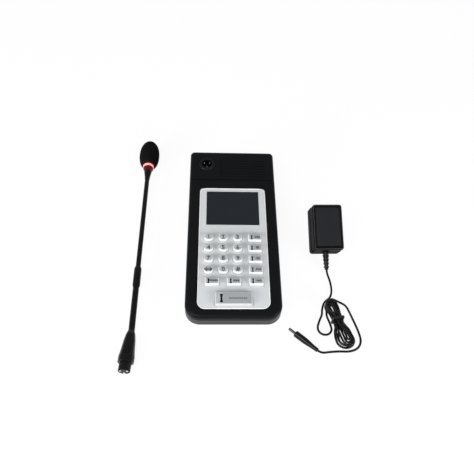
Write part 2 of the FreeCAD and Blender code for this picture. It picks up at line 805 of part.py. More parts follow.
def make_speaker():
    frame = SLOPE * Placement(vector(d.speaker_x, d.speaker_at, 0), Rotation())
    top = -d.top_wall - d.skin
    rim = rod("speaker_ring", d.speaker_radius, d.speaker_rim, (0, 0, top - d.speaker_rim))
    basket = taper(
        "basket", d.magnet_radius, d.speaker_radius - 1, d.basket_depth,
        (0, 0, top - d.speaker_rim - d.basket_depth),
    )
    magnet = rod(
        "magnet", d.magnet_radius, d.magnet_height,
        (0, 0, top - d.speaker_rim - d.basket_depth - d.magnet_height + 0.5),
    )
    mouth = rod(
        "speaker_mouth", d.cone_radius + d.fit, d.speaker_rim + 1, (0, 0, top - d.speaker_rim),
    )
    room = taper(
        "cone_room", d.cone_neck + 1, d.cone_radius + d.fit, d.basket_depth - 2,
        (0, 0, top - d.speaker_rim - d.basket_depth + 2.01),
    )
    body = fuse("speaker_body", [rim, basket, magnet])
    keep(cut("speaker", body, [mouth, room]), "speaker_frame", frame)
    low = top - d.speaker_rim - d.cone_depth + d.cone_travel
    outside = taper("cone_back", d.cone_neck, d.cone_radius, d.cone_depth, (0, 0, low))
    inside = taper(
        "cone_front", d.cone_neck, d.cone_radius, d.cone_depth, (0, 0, low + d.cone_wall),
    )
    keep(cut("cone", outside, [inside]), "speaker_cone", frame)


# Gooseneck microphone

def neck_piece(name, label, start, end, radius, end_radius=None):
    """A length of neck with a ball at its far end and a hollow seat at its near end."""
    end_radius = radius if end_radius is None else end_radius
    pieces = [half_ball(name + "_ball", end_radius, (0, end, 0), "Y")]
    if end_radius == radius:
        pieces.append(rod(name + "_tube", radius, end - start, (0, start, 0), "Y"))
    else:
        pieces.append(rod(name + "_tube", radius, d.neck_step - start, (0, start, 0), "Y"))
        pieces.append(rod(name + "_thin", end_radius, end - d.neck_step, (0, d.neck_step, 0), "Y"))
    seat = ball(name + "_seat", radius + d.joint_gap, (0, start, 0))
    keep(cut(name, fuse(name + "_round", pieces), [seat]), label, NECK)


def make_neck():
    start = as_size(0)
    neck_piece("lower_one", "lower_neck_near", start, d.joint_one, d.lower_radius)
    neck_piece("lower_two", "lower_neck_far", d.joint_one, d.joint_two, d.lower_radius, d.upper_radius)
    neck_piece("upper_one", "upper_neck_near", d.joint_two, d.joint_three, d.upper_radius)
    neck_piece("upper_two", "upper_neck_mid", d.joint_three, d.joint_four, d.upper_radius)
    last = rod(
        "upper_three", d.upper_radius, d.collar_start - d.joint_four, (0, d.joint_four, 0), "Y",
    )
    seat = ball("upper_three_seat", d.upper_radius + d.joint_gap, (0, d.joint_four, 0))
    keep(cut("upper_three_cut", last, [seat]), "upper_neck_far", NECK)
    bore = d.lower_radius + d.snug
    thin_bore = d.upper_radius + d.snug
    keep(turned("sleeve", [
        (bore, d.sleeve_start), (d.sleeve_radius - 0.4, d.sleeve_start),
        (d.sleeve_radius, d.sleeve_start + 1.5), (d.sleeve_radius, d.sleeve_end - 3),
        (thin_bore + 0.8, d.sleeve_end), (thin_bore, d.sleeve_end),
        (thin_bore, d.neck_step + 1), (bore, d.neck_step + 1),
    ]), "neck_sleeve", NECK)


def ring_at(y, radius):
    """A test for the round edge about Y at a place and with a radius, to within a millimetre."""
    def wanted(edge):
        box = edge.BoundBox
        wide = abs(box.XLength - 2 * float(radius)) < 1
        return wide and box.YLength < 1 and abs(box.Center.y - float(y)) < 1
    return wanted


def make_head():
    """The collar with the tube that holds the capsule, the lit ring, and the foam over it."""
    cup = d.collar_start + d.collar_length
    keep(turned("collar", [
        (0, d.collar_start), (d.upper_radius + 0.3, d.collar_start),
        (d.upper_radius + 0.6, d.collar_start + 4), (d.collar_radius, cup),
        (d.cup_radius, cup + 0.8), (d.cup_radius, cup + d.cup_length),
        (d.mic_tube_radius, cup + d.cup_length), (d.mic_tube_radius, d.mic_tube_end),
        (0, d.mic_tube_end),
    ]), "head_collar", NECK)
    ring_start = CUP_END + d.skin
    keep(turned("glow", [
        (d.mic_tube_radius + d.skin, ring_start), (d.ring_radius - 0.5, ring_start),
        (d.ring_radius, ring_start + 0.8), (d.ring_radius, ring_start + d.ring_length),
        (d.mic_tube_radius + d.skin, ring_start + d.ring_length),
    ]), "light_ring", NECK)
    keep(turned("capsule", [
        (0, d.mic_tube_end + d.skin), (d.mic_tube_radius, d.mic_tube_end + d.skin),
        (d.mic_tube_radius, d.mic_tube_end + d.capsule_length - 1),
        (d.mic_tube_radius - 1, d.mic_tube_end + d.capsule_length),
        (0, d.mic_tube_end + d.capsule_length),
    ]), "mic_capsule", NECK)
    bore_end = d.mic_tube_end + d.capsule_length + d.fit
    bore = d.mic_tube_radius + d.foam_fit
    foam = turned("foam", [
        (bore, FOAM_START), (d.foam_mouth, FOAM_START),
        (d.foam_shoulder, FOAM_START + d.foam_shoulder_at),
        (d.foam_radius, FOAM_START + d.foam_full_at),
        (d.foam_radius, d.foam_end), (0, d.foam_end), (0, bore_end), (bore, bore_end),
    ])
    for radius, y, edge_radius in (
        (d.foam_radius, d.foam_end, d.foam_far_edge),
        (d.foam_radius, FOAM_START + d.foam_full_at, d.foam_side_edge),
        (d.foam_shoulder, FOAM_START + d.foam_shoulder_at, d.foam_side_edge),
        (d.foam_mouth, FOAM_START, d.foam_near_edge),
    ):
        round_edges(foam, edge_radius, ring_at(y, radius))
    keep(foam, "windscreen", NECK)


# The plug's taper past its band: distance from the band and share of the plug's full radius
PLUG_TAPER = [(9, 0.87), (21, 0.74), (28.5, 0.6)]


def make_plug():
    """The neck's plug: a metal shell, the insert with its three contacts, and the push tab."""
    shell_start = d.nose_length
    band_end = shell_start + d.collar_band
    taper = [(d.plug_radius * share, band_end + along) for along, share in PLUG_TAPER]
    shell = turned("plug_turned", [
        (d.spigot_radius + d.snug, shell_start), (d.plug_radius - d.nose_edge, shell_start),
        (d.plug_radius, shell_start + d.nose_edge), (d.plug_radius, band_end), *taper,
        (d.lower_radius, d.plug_length - d.plug_throat), (d.lower_radius, d.plug_length),
        (0, d.plug_length),
        (0, shell_start + d.spigot_length + d.fit),
        (d.spigot_radius + d.snug, shell_start + d.spigot_length + d.fit),
    ])
    end_ball = half_ball("plug_ball", d.lower_radius, (0, d.plug_length, 0), "Y")
    grooves = []
    for number in range(2):
        y = shell_start + d.groove_start + number * d.groove_pitch
        tube = rod(f"groove_out_{number}", d.plug_radius + 1, d.groove_width, (0, y, 0), "Y")
        core = rod(
            f"groove_in_{number}", d.plug_radius - d.groove_depth, d.groove_width, (0, y, 0), "Y",
        )
        grooves.append(cut(f"groove_{number}", tube, [core]))
    tab_top = taper[0][0] + d.tab_proud
    tab_y = d.tab_start + d.tab_length / 2
    room = block(
        "tab_room",
        (d.tab_width + 2 * d.fit, d.tab_length + 2 * d.fit, 2 * d.tab_height + 2 * d.tab_travel),
        (0, tab_y, tab_top - d.tab_height - d.tab_travel - d.fit),
    )
    keep(cut("plug_cut", fuse("plug_body", [shell, end_ball]), grooves + [room]), "plug_shell", PLUG)
    tab = block("tab", (d.tab_width, d.tab_length, d.tab_height), (0, tab_y, tab_top - d.tab_height))
    keep(group("tab_set", [tab]), "latch_tab", PLUG)
    nose = turned("nose", [
        (0, 0), (d.nose_radius - d.nose_edge, 0), (d.nose_radius, d.nose_edge),
        (d.nose_radius, d.nose_length - d.skin), (d.spigot_radius, d.nose_length - d.skin),
        (d.spigot_radius, d.nose_length + d.spigot_length),
        (0, d.nose_length + d.spigot_length),
    ])
    # The push tab's side is up, and so is the side with two contacts.
    places = three_around(d.pin_circle)
    holes = [
        rod(
            f"contact_hole_{number}", d.contact_radius + d.snug, d.contact_length + d.contact_inset,
            (x, -1, z), "Y",
        )
        for number, (x, z) in enumerate(places)
    ]
    keep(cut("nose_cut", nose, holes), "plug_insert", PLUG)
    contacts = []
    for number, (x, z) in enumerate(places):
        length = d.contact_length - 1 - d.skin
        tube = rod(f"contact_tube_{number}", d.contact_radius, length, (x, d.contact_inset, z), "Y")
        bore = rod(
            f"contact_bore_{number}", d.pin_radius + d.skin, length - 1,
            (x, d.contact_inset - 0.5, z), "Y",
        )
        contacts.append(cut(f"contact_{number}", tube, [bore]))
    keep(group("contact_set", contacts), "plug_contacts", PLUG)


# Power adapter

def adapter_half(name, low, high, inset):
    """A solid half of the adapter, between two depths, with its long edges rounded."""
    width = d.adapter_width - 2 * as_size(inset)
    length = d.adapter_length - 2 * as_size(inset)
    body = slab(
        name, width, length, high - low, low, d.adapter_corner, d.adapter_corner,
        d.adapter_length / 2,
    )
    return body


BOARD_POSTS = [
    (side * d.adapter_post_x, y)
    for side in (-1, 1) for y in (d.adapter_post_near, d.adapter_post_far)
]
# Transformer and heat sink: x, y, width, length and height. Capacitor: x, y, radius, height.
TRANSFORMER = (0, 40, 20, 18, 14)
HEAT_SINK = (-12, 16, 3, 16, 12)
BIG_CAPACITOR = (8, 16, 5, 14)
BLADE_AT = (d.blade_radius + (d.blade_length - d.blade_radius) * cos(d.adapter_tilt)
            + EDGE_DROP) / sin(d.adapter_tilt)


def make_adapter():
    base = adapter_half("adapter_base_out", as_size(0), d.adapter_seam, as_size(0))
    round_edges(base, d.adapter_edge, lambda edge: edge.BoundBox.ZMax < CLOSE)
    cover = adapter_half("adapter_cover_out", d.adapter_seam, d.adapter_height, d.adapter_step)
    top = float(d.adapter_height)
    round_edges(cover, d.adapter_edge, lambda edge: edge.BoundBox.ZMin > top - CLOSE)
    wall = d.adapter_wall + d.adapter_step
    base_room = adapter_half("adapter_base_in", d.adapter_wall, d.adapter_seam + 1, wall)
    cover_room = adapter_half(
        "adapter_cover_in", d.adapter_seam - 1, d.adapter_height - d.adapter_wall, wall,
    )
    hole_radius = d.boot_spigot + d.snug
    holes = [
        rod(f"boot_hole_{half}", hole_radius, wall * 3, (d.boot_x, -wall, d.boot_w), "Y")
        for half in ("base", "cover")
    ]
    pin_holes = [
        rod(
            f"blade_hole_{side}", d.blade_radius + d.snug, d.adapter_wall * 3,
            (side * d.blade_spacing / 2, BLADE_AT, -d.adapter_wall),
        )
        for side in (-1, 1)
    ]
    posts = [
        rod(
            f"adapter_post_{number}", d.adapter_post_radius,
            d.adapter_board_w - d.skin - d.adapter_wall + d.root, (x, y, d.adapter_wall - d.root),
        )
        for number, (x, y) in enumerate(BOARD_POSTS)
    ]
    hollow_base = cut("adapter_base_shell", base, [base_room])
    base_all = fuse("adapter_base_posts", [hollow_base] + posts)
    keep(cut("adapter_base_cut", base_all, [holes[0]] + pin_holes), "adapter_base", ADAPTER)
    keep(cut("adapter_cover_cut", cover, [cover_room, holes[1]]), "adapter_cover", ADAPTER)
    pins = []
    for side in (-1, 1):
        x = side * d.blade_spacing / 2
        length = d.blade_length - d.blade_radius + d.adapter_wall + 1
        shank = rod(
            f"blade_{side}", d.blade_radius, length,
            (x, BLADE_AT, d.blade_radius - d.blade_length),
        )
        tip = half_ball(
            f"blade_tip_{side}", d.blade_radius, (x, BLADE_AT, d.blade_radius - d.blade_length),
            upper=False,
        )
        pins.append(fuse(f"blade_round_{side}", [shank, tip]))
    keep(group("blade_set", pins), "adapter_pins", ADAPTER)
    top_w = d.adapter_board_w + d.board_thickness + d.snug
    inside = d.adapter_width - 2 * wall - 1
    solids = [block(
        "adapter_plate", (inside, d.adapter_board_length, d.board_thickness),
        (0, d.adapter_board_middle, d.adapter_board_w),
    )]
    for name, (x, y, width, length, height) in (("transformer", TRANSFORMER), ("sink", HEAT_SINK)):
        solids.append(block(name, (width, length, height), (x, y, top_w)))
    x, y, radius, height = BIG_CAPACITOR
    solids.append(rod("big_capacitor", radius, height, (x, y, top_w)))
    keep(group("adapter_circuit", solids), "adapter_board", ADAPTER)


def make_boot():
    """The ribbed strain relief, from the adapter's near wall out along its slope."""
    count = int(float(d.boot_ribs))
    rib = d.boot_length / (2 * d.boot_ribs)
    inner_end = d.adapter_wall + d.root
    points = [(0, inner_end), (d.boot_spigot, inner_end), (d.boot_spigot, -d.snug)]
    for number in range(count):
        for part, depth in ((0, 0), (1, 1)):
            for end in (0, 1):
                along = (2 * number + part + end) * rib
                radius = d.boot_radius + (d.boot_end_radius - d.boot_radius) * (along / d.boot_length)
                points.append((radius - depth * d.boot_rib_depth, -along - d.snug))
    points.append((0, -d.boot_length - d.snug))
    frame = ADAPTER * Placement(vector(d.boot_x, 0, d.boot_w), Rotation())
    keep(turned("boot", points), "cord_boot", frame)


# The lead: paths of straight runs and arcs, and of pairs of arcs round the hank

SHARED_RUN = 0.45
END_RUN = 0.9


def bend_path(points):
    """Straight runs joined by tangent arcs, each as large as its two runs allow."""
    edges = []
    radii = []
    at = points[0]
    for number, (before, corner, after) in enumerate(zip(points, points[1:], points[2:])):
        run_in = corner - before
        run_out = after - corner
        half_turn = run_in.getAngle(run_out) / 2
        share_out = END_RUN if number == len(points) - 3 else SHARED_RUN
        reach = min(SHARED_RUN * run_in.Length, share_out * run_out.Length)
        radii.append(reach / math.tan(half_turn))
        first = corner - run_in.normalize() * reach
        last = corner + run_out.normalize() * reach
        inward = (last - corner).normalize() + (first - corner).normalize()
        middle = corner + inward.normalize() * radii[-1] * (1 / math.cos(half_turn) - 1)
        edges.append(Part.LineSegment(at, first).toShape())
        edges.append(Part.Arc(first, middle, last).toShape())
        at = last
    edges.append(Part.LineSegment(at, points[-1]).toShape())
    return Part.Wire(edges), radii


def half_of_pair(start, control, end):
    """An arc that leaves the start towards the control point and ends at the end."""
    middle = (start + end) / 2
    height = (control - middle).Length
    half_chord = (end - start).Length / 2
    if height < 1e-6 * half_chord:
        return Part.LineSegment(start, end).toShape()
    side = math.hypot(half_chord, height)
    radius = half_chord * side / height
    rise = radius - math.sqrt(radius**2 - half_chord**2)
    top = middle + (control - middle) * (rise / height)
    return Part.Arc(start, top, end).toShape()


def arc_pair(start, start_way, end, end_way):
    """Two arcs that meet smoothly and join two places in given directions."""
    step = end - start
    way = start_way + end_way
    square = 2 * (1 - start_way.dot(end_way))
    along = step.dot(way)
    if square < 1e-9:
        reach = step.dot(step) / (2 * along)
    else:
        reach = (math.sqrt(along**2 + square * step.dot(step)) - along) / square
    first = start + start_way * reach
    second = end - end_way * reach
    meet = (first + second) / 2
    return [half_of_pair(start, first, meet), half_of_pair(meet, second, end)]


def tube(path, radius):
    """A round tube along a path, with the share of its volume that the pipe gives."""
    start = path.Edges[0]
    way = start.tangentAt(start.FirstParameter)
    ring = Part.Wire(Part.makeCircle(radius, path.Edges[0].valueAt(start.FirstParameter), way))
    solid = path.makePipeShell([ring], True, False)
    share = solid.Volume / (math.pi * radius**2 * path.Length)
    return solid, share


# The hank's loops: the slot of each, as (place from the outside in, layer), and the stretch of
# the loop in which it changes to the next loop's slot. Later loops change earlier.
SLOTS = [(0, 0), (1, 0), (1, 1), (0, 1), (0, 2), (1, 2), (1, 3), (0, 3)]
STATIONS = [
    "eye_left", "eye_top", "eye_right", "waist_right", "belly_right_start", "belly_right",
    "belly_end", "belly_left", "belly_left_start", "waist_left",
]
CHANGE_AT = {
    0: "waist_left", 1: "belly_left_start", 2: "belly_end", 3: "belly_right",
    4: "belly_right_start", 5: "waist_right", 6: "eye_left",
}
# How far the belly of each layer reaches and leans, because nothing ties it there.
LAYER_SHORT = (0, 1.6, 0.6, 3.2)
LAYER_LEAN = (0, 0.8, 1.4, 2.2)
LAYER_NARROW = (0, 0.7, 1.8, 2.6)


def station_place(station, slot):
    """Where a loop passes a station, and which way: x across, y towards the eye, z up."""
    inset = slot[0] * float(d.wire_step)
    z = slot[1] * float(d.layer_step)
    short = LAYER_SHORT[slot[1]]
    lean = LAYER_LEAN[slot[1]]
    waist = 1.5 * float(d.wire_step) - inset
    eye = float(d.hank_eye) - inset
    widest = float(d.hank_belly) - LAYER_NARROW[slot[1]]
    belly = widest - inset
    half_way = (1.5 * float(d.wire_step) + widest) / 2 - inset
    eye_at = float(d.hank_eye_at)
    belly_at = float(d.hank_belly_at) - short
    spread = math.atan((widest - 1.5 * float(d.wire_step)) / belly_at)
    tilt = math.atan(lean / belly_at)
    places = {
        "waist_left": (Vector(-waist, 0, z), 90),
        "eye_left": (Vector(-eye, eye_at, z), 90),
        "eye_top": (Vector(0, float(d.hank_top) - inset, z), 0),
        "eye_right": (Vector(eye, eye_at, z), -90),
        "waist_right": (Vector(waist, 0, z), -90),
        "belly_right_start": (
            Vector(half_way + lean / 2, -belly_at / 2, z), -90 + math.degrees(1.9 * (spread + tilt)),
        ),
        "belly_right": (Vector(belly + lean, -belly_at, z), -90),
        "belly_end": (Vector(lean, inset + short - float(d.hank_bottom), z), -180),
        "belly_left": (Vector(lean - belly, -belly_at, z), 90),
        "belly_left_start": (
            Vector(lean / 2 - half_way, -belly_at / 2, z), 90 - math.degrees(1.9 * (spread - tilt)),
        ),
    }
    place_at, angle = places[station]
    way = Vector(math.cos(math.radians(angle)), math.sin(math.radians(angle)), 0)
    return place_at, way


def slot_after(loop, station):
    """The slot of a loop at a station: the next loop's, once it has passed its change."""
    changed = STATIONS.index(station) >= STATIONS.index(CHANGE_AT[loop])
    return SLOTS[loop + changed]


def hank_stations():
    """The places and ways of the hank's path, from the end of the lead to the start of the tail."""
    stub = vector(-d.hank_eye - d.hank_stub_x, d.hank_stub_y, 0)
    stations = [(stub, Y_AXIS)]
    last_loop = len(SLOTS) - 2
    for loop in range(last_loop + 1):
        for station in STATIONS[:2] if loop == last_loop else STATIONS:
            stations.append(station_place(station, slot_after(loop, station)))
    eye = float(d.hank_eye)
    slant = math.radians(45)
    middle = float(d.hank_top) - eye
    place_at = Vector(
        eye * math.cos(slant), middle + eye * math.sin(slant), SLOTS[-1][1] * float(d.layer_step),
    )
    stations.append((place_at, Vector(math.sin(slant), -math.cos(slant), 0)))
    return stations


def least_gap(path, diameter):
    """The least gap between stretches of a path that are over three diameters apart along it."""
    step = 0.8
    points = path.discretize(Distance=step)
    skip = int(3 * diameter / step) + 1
    least = 1e9
    for number, point in enumerate(points):
        for other in points[number + skip:]:
            far = abs(point.x - other.x)
            if far < least and point.distanceToPoint(other) < least:
                least = point.distanceToPoint(other)
    return least - diameter


# Corners of the lead on the table between the boot and the hank, and of the tail between the
# hank and the plug, with the lengths of the straight runs at their ends.
LEAD_CORNERS = [
    (131.6, -61), (132.6, -75.5), (128.8, -87.5), (119.6, -94.5), (116.6, -104),
    (114, -112.5), (108.2, -119.5), (103.2, -132.2), (108.3, -140.5), (117.6, -141.3),
    (123.2, -134.4),
]
TAIL_CORNERS = [
    (147.2, -104.2, 7), (151.5, -112.5, 2.8), (155.2, -123.5, 0), (158.4, -136, 0),
    (160, -149, 0), (154.6, -158.8, 0), (143.5, -163, 0), (130, -162.4, 0), (118, -163.2, 0),
]
LEAD_END = 8
TAIL_START = 6.5
TAIL_END = 5


def make_cord():
    radius = float(d.cord_radius)
    boot_end = ADAPTER.multVec(vector(d.boot_x, -d.boot_length - d.snug, d.boot_w))
    way_out = ADAPTER.Rotation.multVec(Vector(0, -1, 0))
    floor = radius + 0.03
    landing = boot_end + way_out * ((boot_end.z - floor) / -way_out.z)
    stations = hank_stations()
    edges = []
    start = stations[0][0] - stations[0][1] * 2 * radius
    edges.append(Part.LineSegment(start, stations[0][0]).toShape())
    for (here, way), (there, there_way) in zip(stations, stations[1:]):
        edges += arc_pair(here, way, there, there_way)
    end = stations[-1][0] + stations[-1][1] * 2 * radius
    edges.append(Part.LineSegment(stations[-1][0], end).toShape())
    loops = Part.Wire(edges)
    tight = min(edge.Curve.Radius for edge in edges if hasattr(edge.Curve, "Radius"))
    gap = least_gap(loops, 2 * radius)
    print(f"hank: length {loops.Length:.0f}, tightest {tight:.2f}, least gap {gap:.2f}")
    solid, share = tube(loops, radius)
    print(f"hank volume share {share:.4f}")
    hank = doc.addObject("Part::Feature", "hank")
    hank.Shape = solid
    keep(hank, "cord_hank", HANK)

    hank_start = HANK.multVec(start)
    along_hank = HANK.Rotation.multVec(Y_AXIS)
    lead = [boot_end, landing]
    lead += [Vector(x, y, floor) for x, y in LEAD_CORNERS]
    lead += [hank_start - along_hank * LEAD_END, hank_start]
    lay_cord(lead, "cord_lead")

    hank_end = HANK.multVec(end)
    leave = HANK.Rotation.multVec(stations[-1][1])
    grip_end = GRIP.multVec(vector(0, -d.snug, 0))
    grip_way = GRIP.Rotation.multVec(Y_AXIS)
    tail = [hank_end, hank_end + leave * TAIL_START]
    tail += [Vector(x, y, max(z, floor)) for x, y, z in TAIL_CORNERS]
    tail += [grip_end - grip_way * TAIL_END, grip_end]
    lay_cord(tail, "cord_tail")


def lay_cord(points, label):
    path, radii = bend_path(points)
    solid, share = tube(path, float(d.cord_radius))
    rounded = ", ".join(f"{value:.1f}" for value in radii)
    print(f"{label}: length {path.Length:.0f}, volume share {share:.4f}, radii {rounded}")
    feature = doc.addObject("Part::Feature", label + "_tube")
    feature.Shape = solid
    keep(feature, label)


def make_tie():
    """The wire tie round the waist of the hank."""
    loops = 2 * (1.5 * d.wire_step + d.cord_radius + d.tie_gap)
    height = 3 * d.layer_step + 2 * (d.cord_radius + d.tie_gap)
    low = -d.cord_radius - d.tie_gap
    band = block(
        "tie_out", (loops + 2 * d.tie_thickness, d.tie_width, height + 2 * d.tie_thickness),
        (0, 0, low - d.tie_thickness),
    )
    room = block("tie_in", (loops, d.tie_width + 2, height), (0, 0, low))
    keep(cut("tie", band, [room]), "hank_tie", HANK)


def make_power_plug():
    """The lead's low-voltage plug: a moulded grip and a hollow barrel with a dark tip."""
    length = d.plug_grip_length
    full = d.plug_grip_radius
    hole = d.barrel_root + d.snug
    keep(turned("grip", [
        (0, 0), (d.plug_grip_rear, 0), (d.plug_grip_rear + d.grip_swell, d.grip_waist_at),
        (full - d.grip_swell, d.grip_shoulder_at), (full, d.grip_full_at),
        (full, length - d.grip_edge), (full - d.grip_edge, length), (hole, length),
        (hole, length - d.barrel_depth),
        (0, length - d.barrel_depth),
    ]), "dc_plug_grip", GRIP)
    end = length + d.barrel_length
    root = length - d.barrel_depth + d.skin
    shoulder = length + d.snug
    tip_start = end - d.tip_length
    barrel = turned("barrel_tube", [
        (0, root), (d.barrel_root, root), (d.barrel_root, shoulder), (d.barrel_radius, shoulder),
        (d.barrel_radius, tip_start), (d.barrel_bore, tip_start), (d.barrel_bore, length),
        (0, length),
    ])
    tip = turned("barrel_tip", [
        (d.barrel_bore, tip_start + d.tip_gap), (d.barrel_radius, tip_start + d.tip_gap),
        (d.barrel_radius - d.barrel_edge, end), (d.barrel_bore, end),
    ])
    keep(group("barrel_pieces", [barrel, tip]), "dc_plug_barrel", GRIP)


make_base_shell()
make_top_cover()
make_feet_and_screws()
make_panel()
make_screen()
for key in KEYS:
    make_key(*key)
make_key_boards()
make_main_board()
make_rear_ports()
make_socket()
make_speaker()
make_neck()
make_head()
make_plug()
make_adapter()
make_boot()
make_cord()
make_tie()
make_power_plug()
doc.recompute()

for thing in doc.Objects:
    if "Invalid" in thing.State or "Error" in thing.State:
        raise RuntimeError(f"{thing.Name} failed: {thing.State}")
for thing in PARTS:
    if thing.Shape.isNull() or not thing.Shape.isValid():
        raise RuntimeError(f"{thing.Label} has no valid shape")

os.makedirs("parts", exist_ok=True)
for thing in PARTS:
    thing.Shape.exportStep(f"parts/{thing.Label}.step")

free = ("cord_lead", "cord_hank", "cord_tail", "hank_tie", "dc_plug_grip", "dc_plug_barrel")
whole = FreeCAD.BoundBox()
for thing in PARTS:
    if thing.Label not in free:
        whole.add(thing.Shape.BoundBox)
print(f"{len(PARTS)} sub-parts, {whole}")
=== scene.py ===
"""A paging microphone set on a white table: desk console, gooseneck microphone and power adapter.

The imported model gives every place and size. This file gives the finishes, the soft foam, the
flexible neck, the keys' rounded caps with their print, the fine trim and the lead. It is laid out
as an add-on: the settings hold sizes and colours, and each operator makes one group of pieces.
"""

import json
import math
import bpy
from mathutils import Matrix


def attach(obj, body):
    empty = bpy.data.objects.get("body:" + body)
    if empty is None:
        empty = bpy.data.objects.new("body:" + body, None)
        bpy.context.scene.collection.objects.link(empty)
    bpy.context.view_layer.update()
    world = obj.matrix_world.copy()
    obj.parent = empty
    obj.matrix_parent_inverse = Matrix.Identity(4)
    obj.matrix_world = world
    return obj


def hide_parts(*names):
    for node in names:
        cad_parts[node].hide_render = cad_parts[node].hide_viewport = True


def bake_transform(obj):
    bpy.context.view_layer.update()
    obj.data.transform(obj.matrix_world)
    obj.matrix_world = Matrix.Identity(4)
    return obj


bl_info = {
    "name": "Paging Microphone Set",
    "version": (1, 0, 0),
    "blender": (4, 5, 0),
    "location": "3D View > Sidebar > Paging Set",
    "description": "Dresses the packed paging microphone set with its finishes and soft parts",
    "category": "Add Mesh",
}

import bmesh
import bpy
import numpy as np
from mathutils import Matrix

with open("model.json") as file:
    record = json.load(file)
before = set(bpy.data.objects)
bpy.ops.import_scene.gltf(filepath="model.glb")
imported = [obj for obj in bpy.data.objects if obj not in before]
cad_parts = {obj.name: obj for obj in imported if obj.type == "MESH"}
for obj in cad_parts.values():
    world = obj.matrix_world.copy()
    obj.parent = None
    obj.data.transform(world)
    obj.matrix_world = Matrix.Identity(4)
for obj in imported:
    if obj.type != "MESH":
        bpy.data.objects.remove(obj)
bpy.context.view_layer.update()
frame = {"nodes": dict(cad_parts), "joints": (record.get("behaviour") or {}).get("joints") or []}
NODES = frame["nodes"]
JOINTS = {joint["name"]: joint for joint in frame["joints"]}
MM = 0.001


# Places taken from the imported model


class Place:
    """A turned and moved coordinate system: columns of turn are its axes, at is its origin."""

    def __init__(self, at, x_axis, y_axis):
        self.at = np.array(at, float)
        x_axis = np.array(x_axis, float) / np.linalg.norm(x_axis)
        z_axis = np.cross(x_axis, y_axis)
        z_axis = z_axis / np.linalg.norm(z_axis)
        self.turn = np.stack([x_axis, np.cross(z_axis, x_axis), z_axis], axis=1)

    def out(self, points):
        """Points of this place as points of the set."""
        return np.asarray(points, float) @ self.turn.T + self.at

    def inside(self, points):
        """Points of the set as points of this place."""
        return (np.asarray(points, float) - self.at) @ self.turn

    def moved(self, x, y, z):
        """The same axes at another point of this place."""
        return Place(self.out([x, y, z]), self.turn[:, 0], self.turn[:, 1])

    def box(self, *names):
        """Lowest and highest corner of CAD nodes, measured along this place's axes."""
        points = self.inside(np.concatenate([corners(name) for name in names]))
        return points.min(axis=0), points.max(axis=0)


def corners(name):
    """All vertices of a CAD node."""
    mesh = NODES[name].data
    flat = np.empty(len(mesh.vertices) * 3)
    mesh.vertices.foreach_get("co", flat)
    return flat.reshape(-1, 3)


def middle(name):
    """The middle of a CAD node's box."""
    low, high = corners(name).min(axis=0), corners(name).max(axis=0)
    return (low + high) / 2


def slope_place():
    """The sloping top: x across, y up the slope and z out of it, from the panel's top middle."""
    normal = -np.array(JOINTS["talk_key_press"]["axis"], float)
    flat = Place(middle("keypad_panel"), (1, 0, 0), np.cross(normal, (1, 0, 0)))
    low, high = flat.box("keypad_panel")
    return flat.moved((low[0] + high[0]) / 2, (low[1] + high[1]) / 2, high[2])


def neck_place():
    """The neck: y runs along it, from the point where it leaves its plug."""
    start = np.array(JOINTS["root_lift"]["pos_m"], float)
    end = np.array(JOINTS["head_lift"]["pos_m"], float)
    return Place(start, JOINTS["root_lift"]["axis"], end - start)


def plug_place():
    """The neck's plug: y runs from the tip of its nose towards the neck."""
    start = np.array(JOINTS["root_lift"]["pos_m"], float)
    nose = corners("plug_insert").mean(axis=0)
    along = np.array([start[0] - nose[0], start[1] - nose[1], 0])
    x_axis = np.cross(along, (0, 0, 1))
    rough = Place(start, x_axis, along)
    return rough.moved(0, rough.box("plug_insert")[0][1], 0)


ADAPTER_TURN, ADAPTER_TILT = math.radians(1), math.radians(25)


def adapter_place():
    """The leaning adapter: x across its face, y up along the face and z out of it.

    The face's upward direction is (-sin t cos a, cos t cos a, sin a), with t its turn on the
    table and a the angle at which it leans.
    """
    sine, cosine = math.sin(ADAPTER_TURN), math.cos(ADAPTER_TURN)
    level = math.cos(ADAPTER_TILT)
    up_the_face = (-sine * level, cosine * level, math.sin(ADAPTER_TILT))
    return Place(middle("adapter_cover"), (cosine, sine, 0), up_the_face)


ADAPTER = adapter_place()
SLOPE = slope_place()
NECK = neck_place()
PLUG = plug_place()
KEY_NAMES = [name for name in NODES if "_key" in name]
DIGIT_KEYS = [name for name in KEY_NAMES if name.startswith("digit")]
BAR_KEYS = [name for name in KEY_NAMES if name.startswith(("side", "lower", "talk"))]


def along_neck(joint):
    """How far along the neck a joint lies."""
    return float(NECK.inside(JOINTS[joint]["pos_m"])[1])


# Settings that a user would change


class StageSettings(bpy.types.PropertyGroup):
    """The table and the lamps"""

    floor_colour: bpy.props.FloatVectorProperty(
        name="Floor colour", description="Colour of the table", subtype="COLOR", size=4,
        default=(0.92, 0.92, 0.92, 1))
    floor_size: bpy.props.FloatProperty(
        name="Floor size", description="Width of the table", unit="LENGTH", default=6.0)
    shadow: bpy.props.FloatProperty(
        name="Shadow", description="How much of the shadows the camera sees", default=0.1,
        min=0, max=1, subtype="FACTOR")
    world_strength: bpy.props.FloatProperty(
        name="Sky light", description="Strength of the even light from all round", default=0.3)
    near_light: bpy.props.FloatProperty(
        name="Near lamp", description="Power of the large lamp on the user's left", unit="POWER",
        default=11.2)
    far_light: bpy.props.FloatProperty(
        name="Far lamp", description="Power of the low lamp on the far side", unit="POWER",
        default=3.0)
    corner_light: bpy.props.FloatProperty(
        name="Corner lamps", description="Power of the two lamps at the near corners",
        unit="POWER", default=9.0)
    glint_light: bpy.props.FloatProperty(
        name="Glint lamps", description="Power of the two small low lamps", unit="POWER",
        default=2.2)


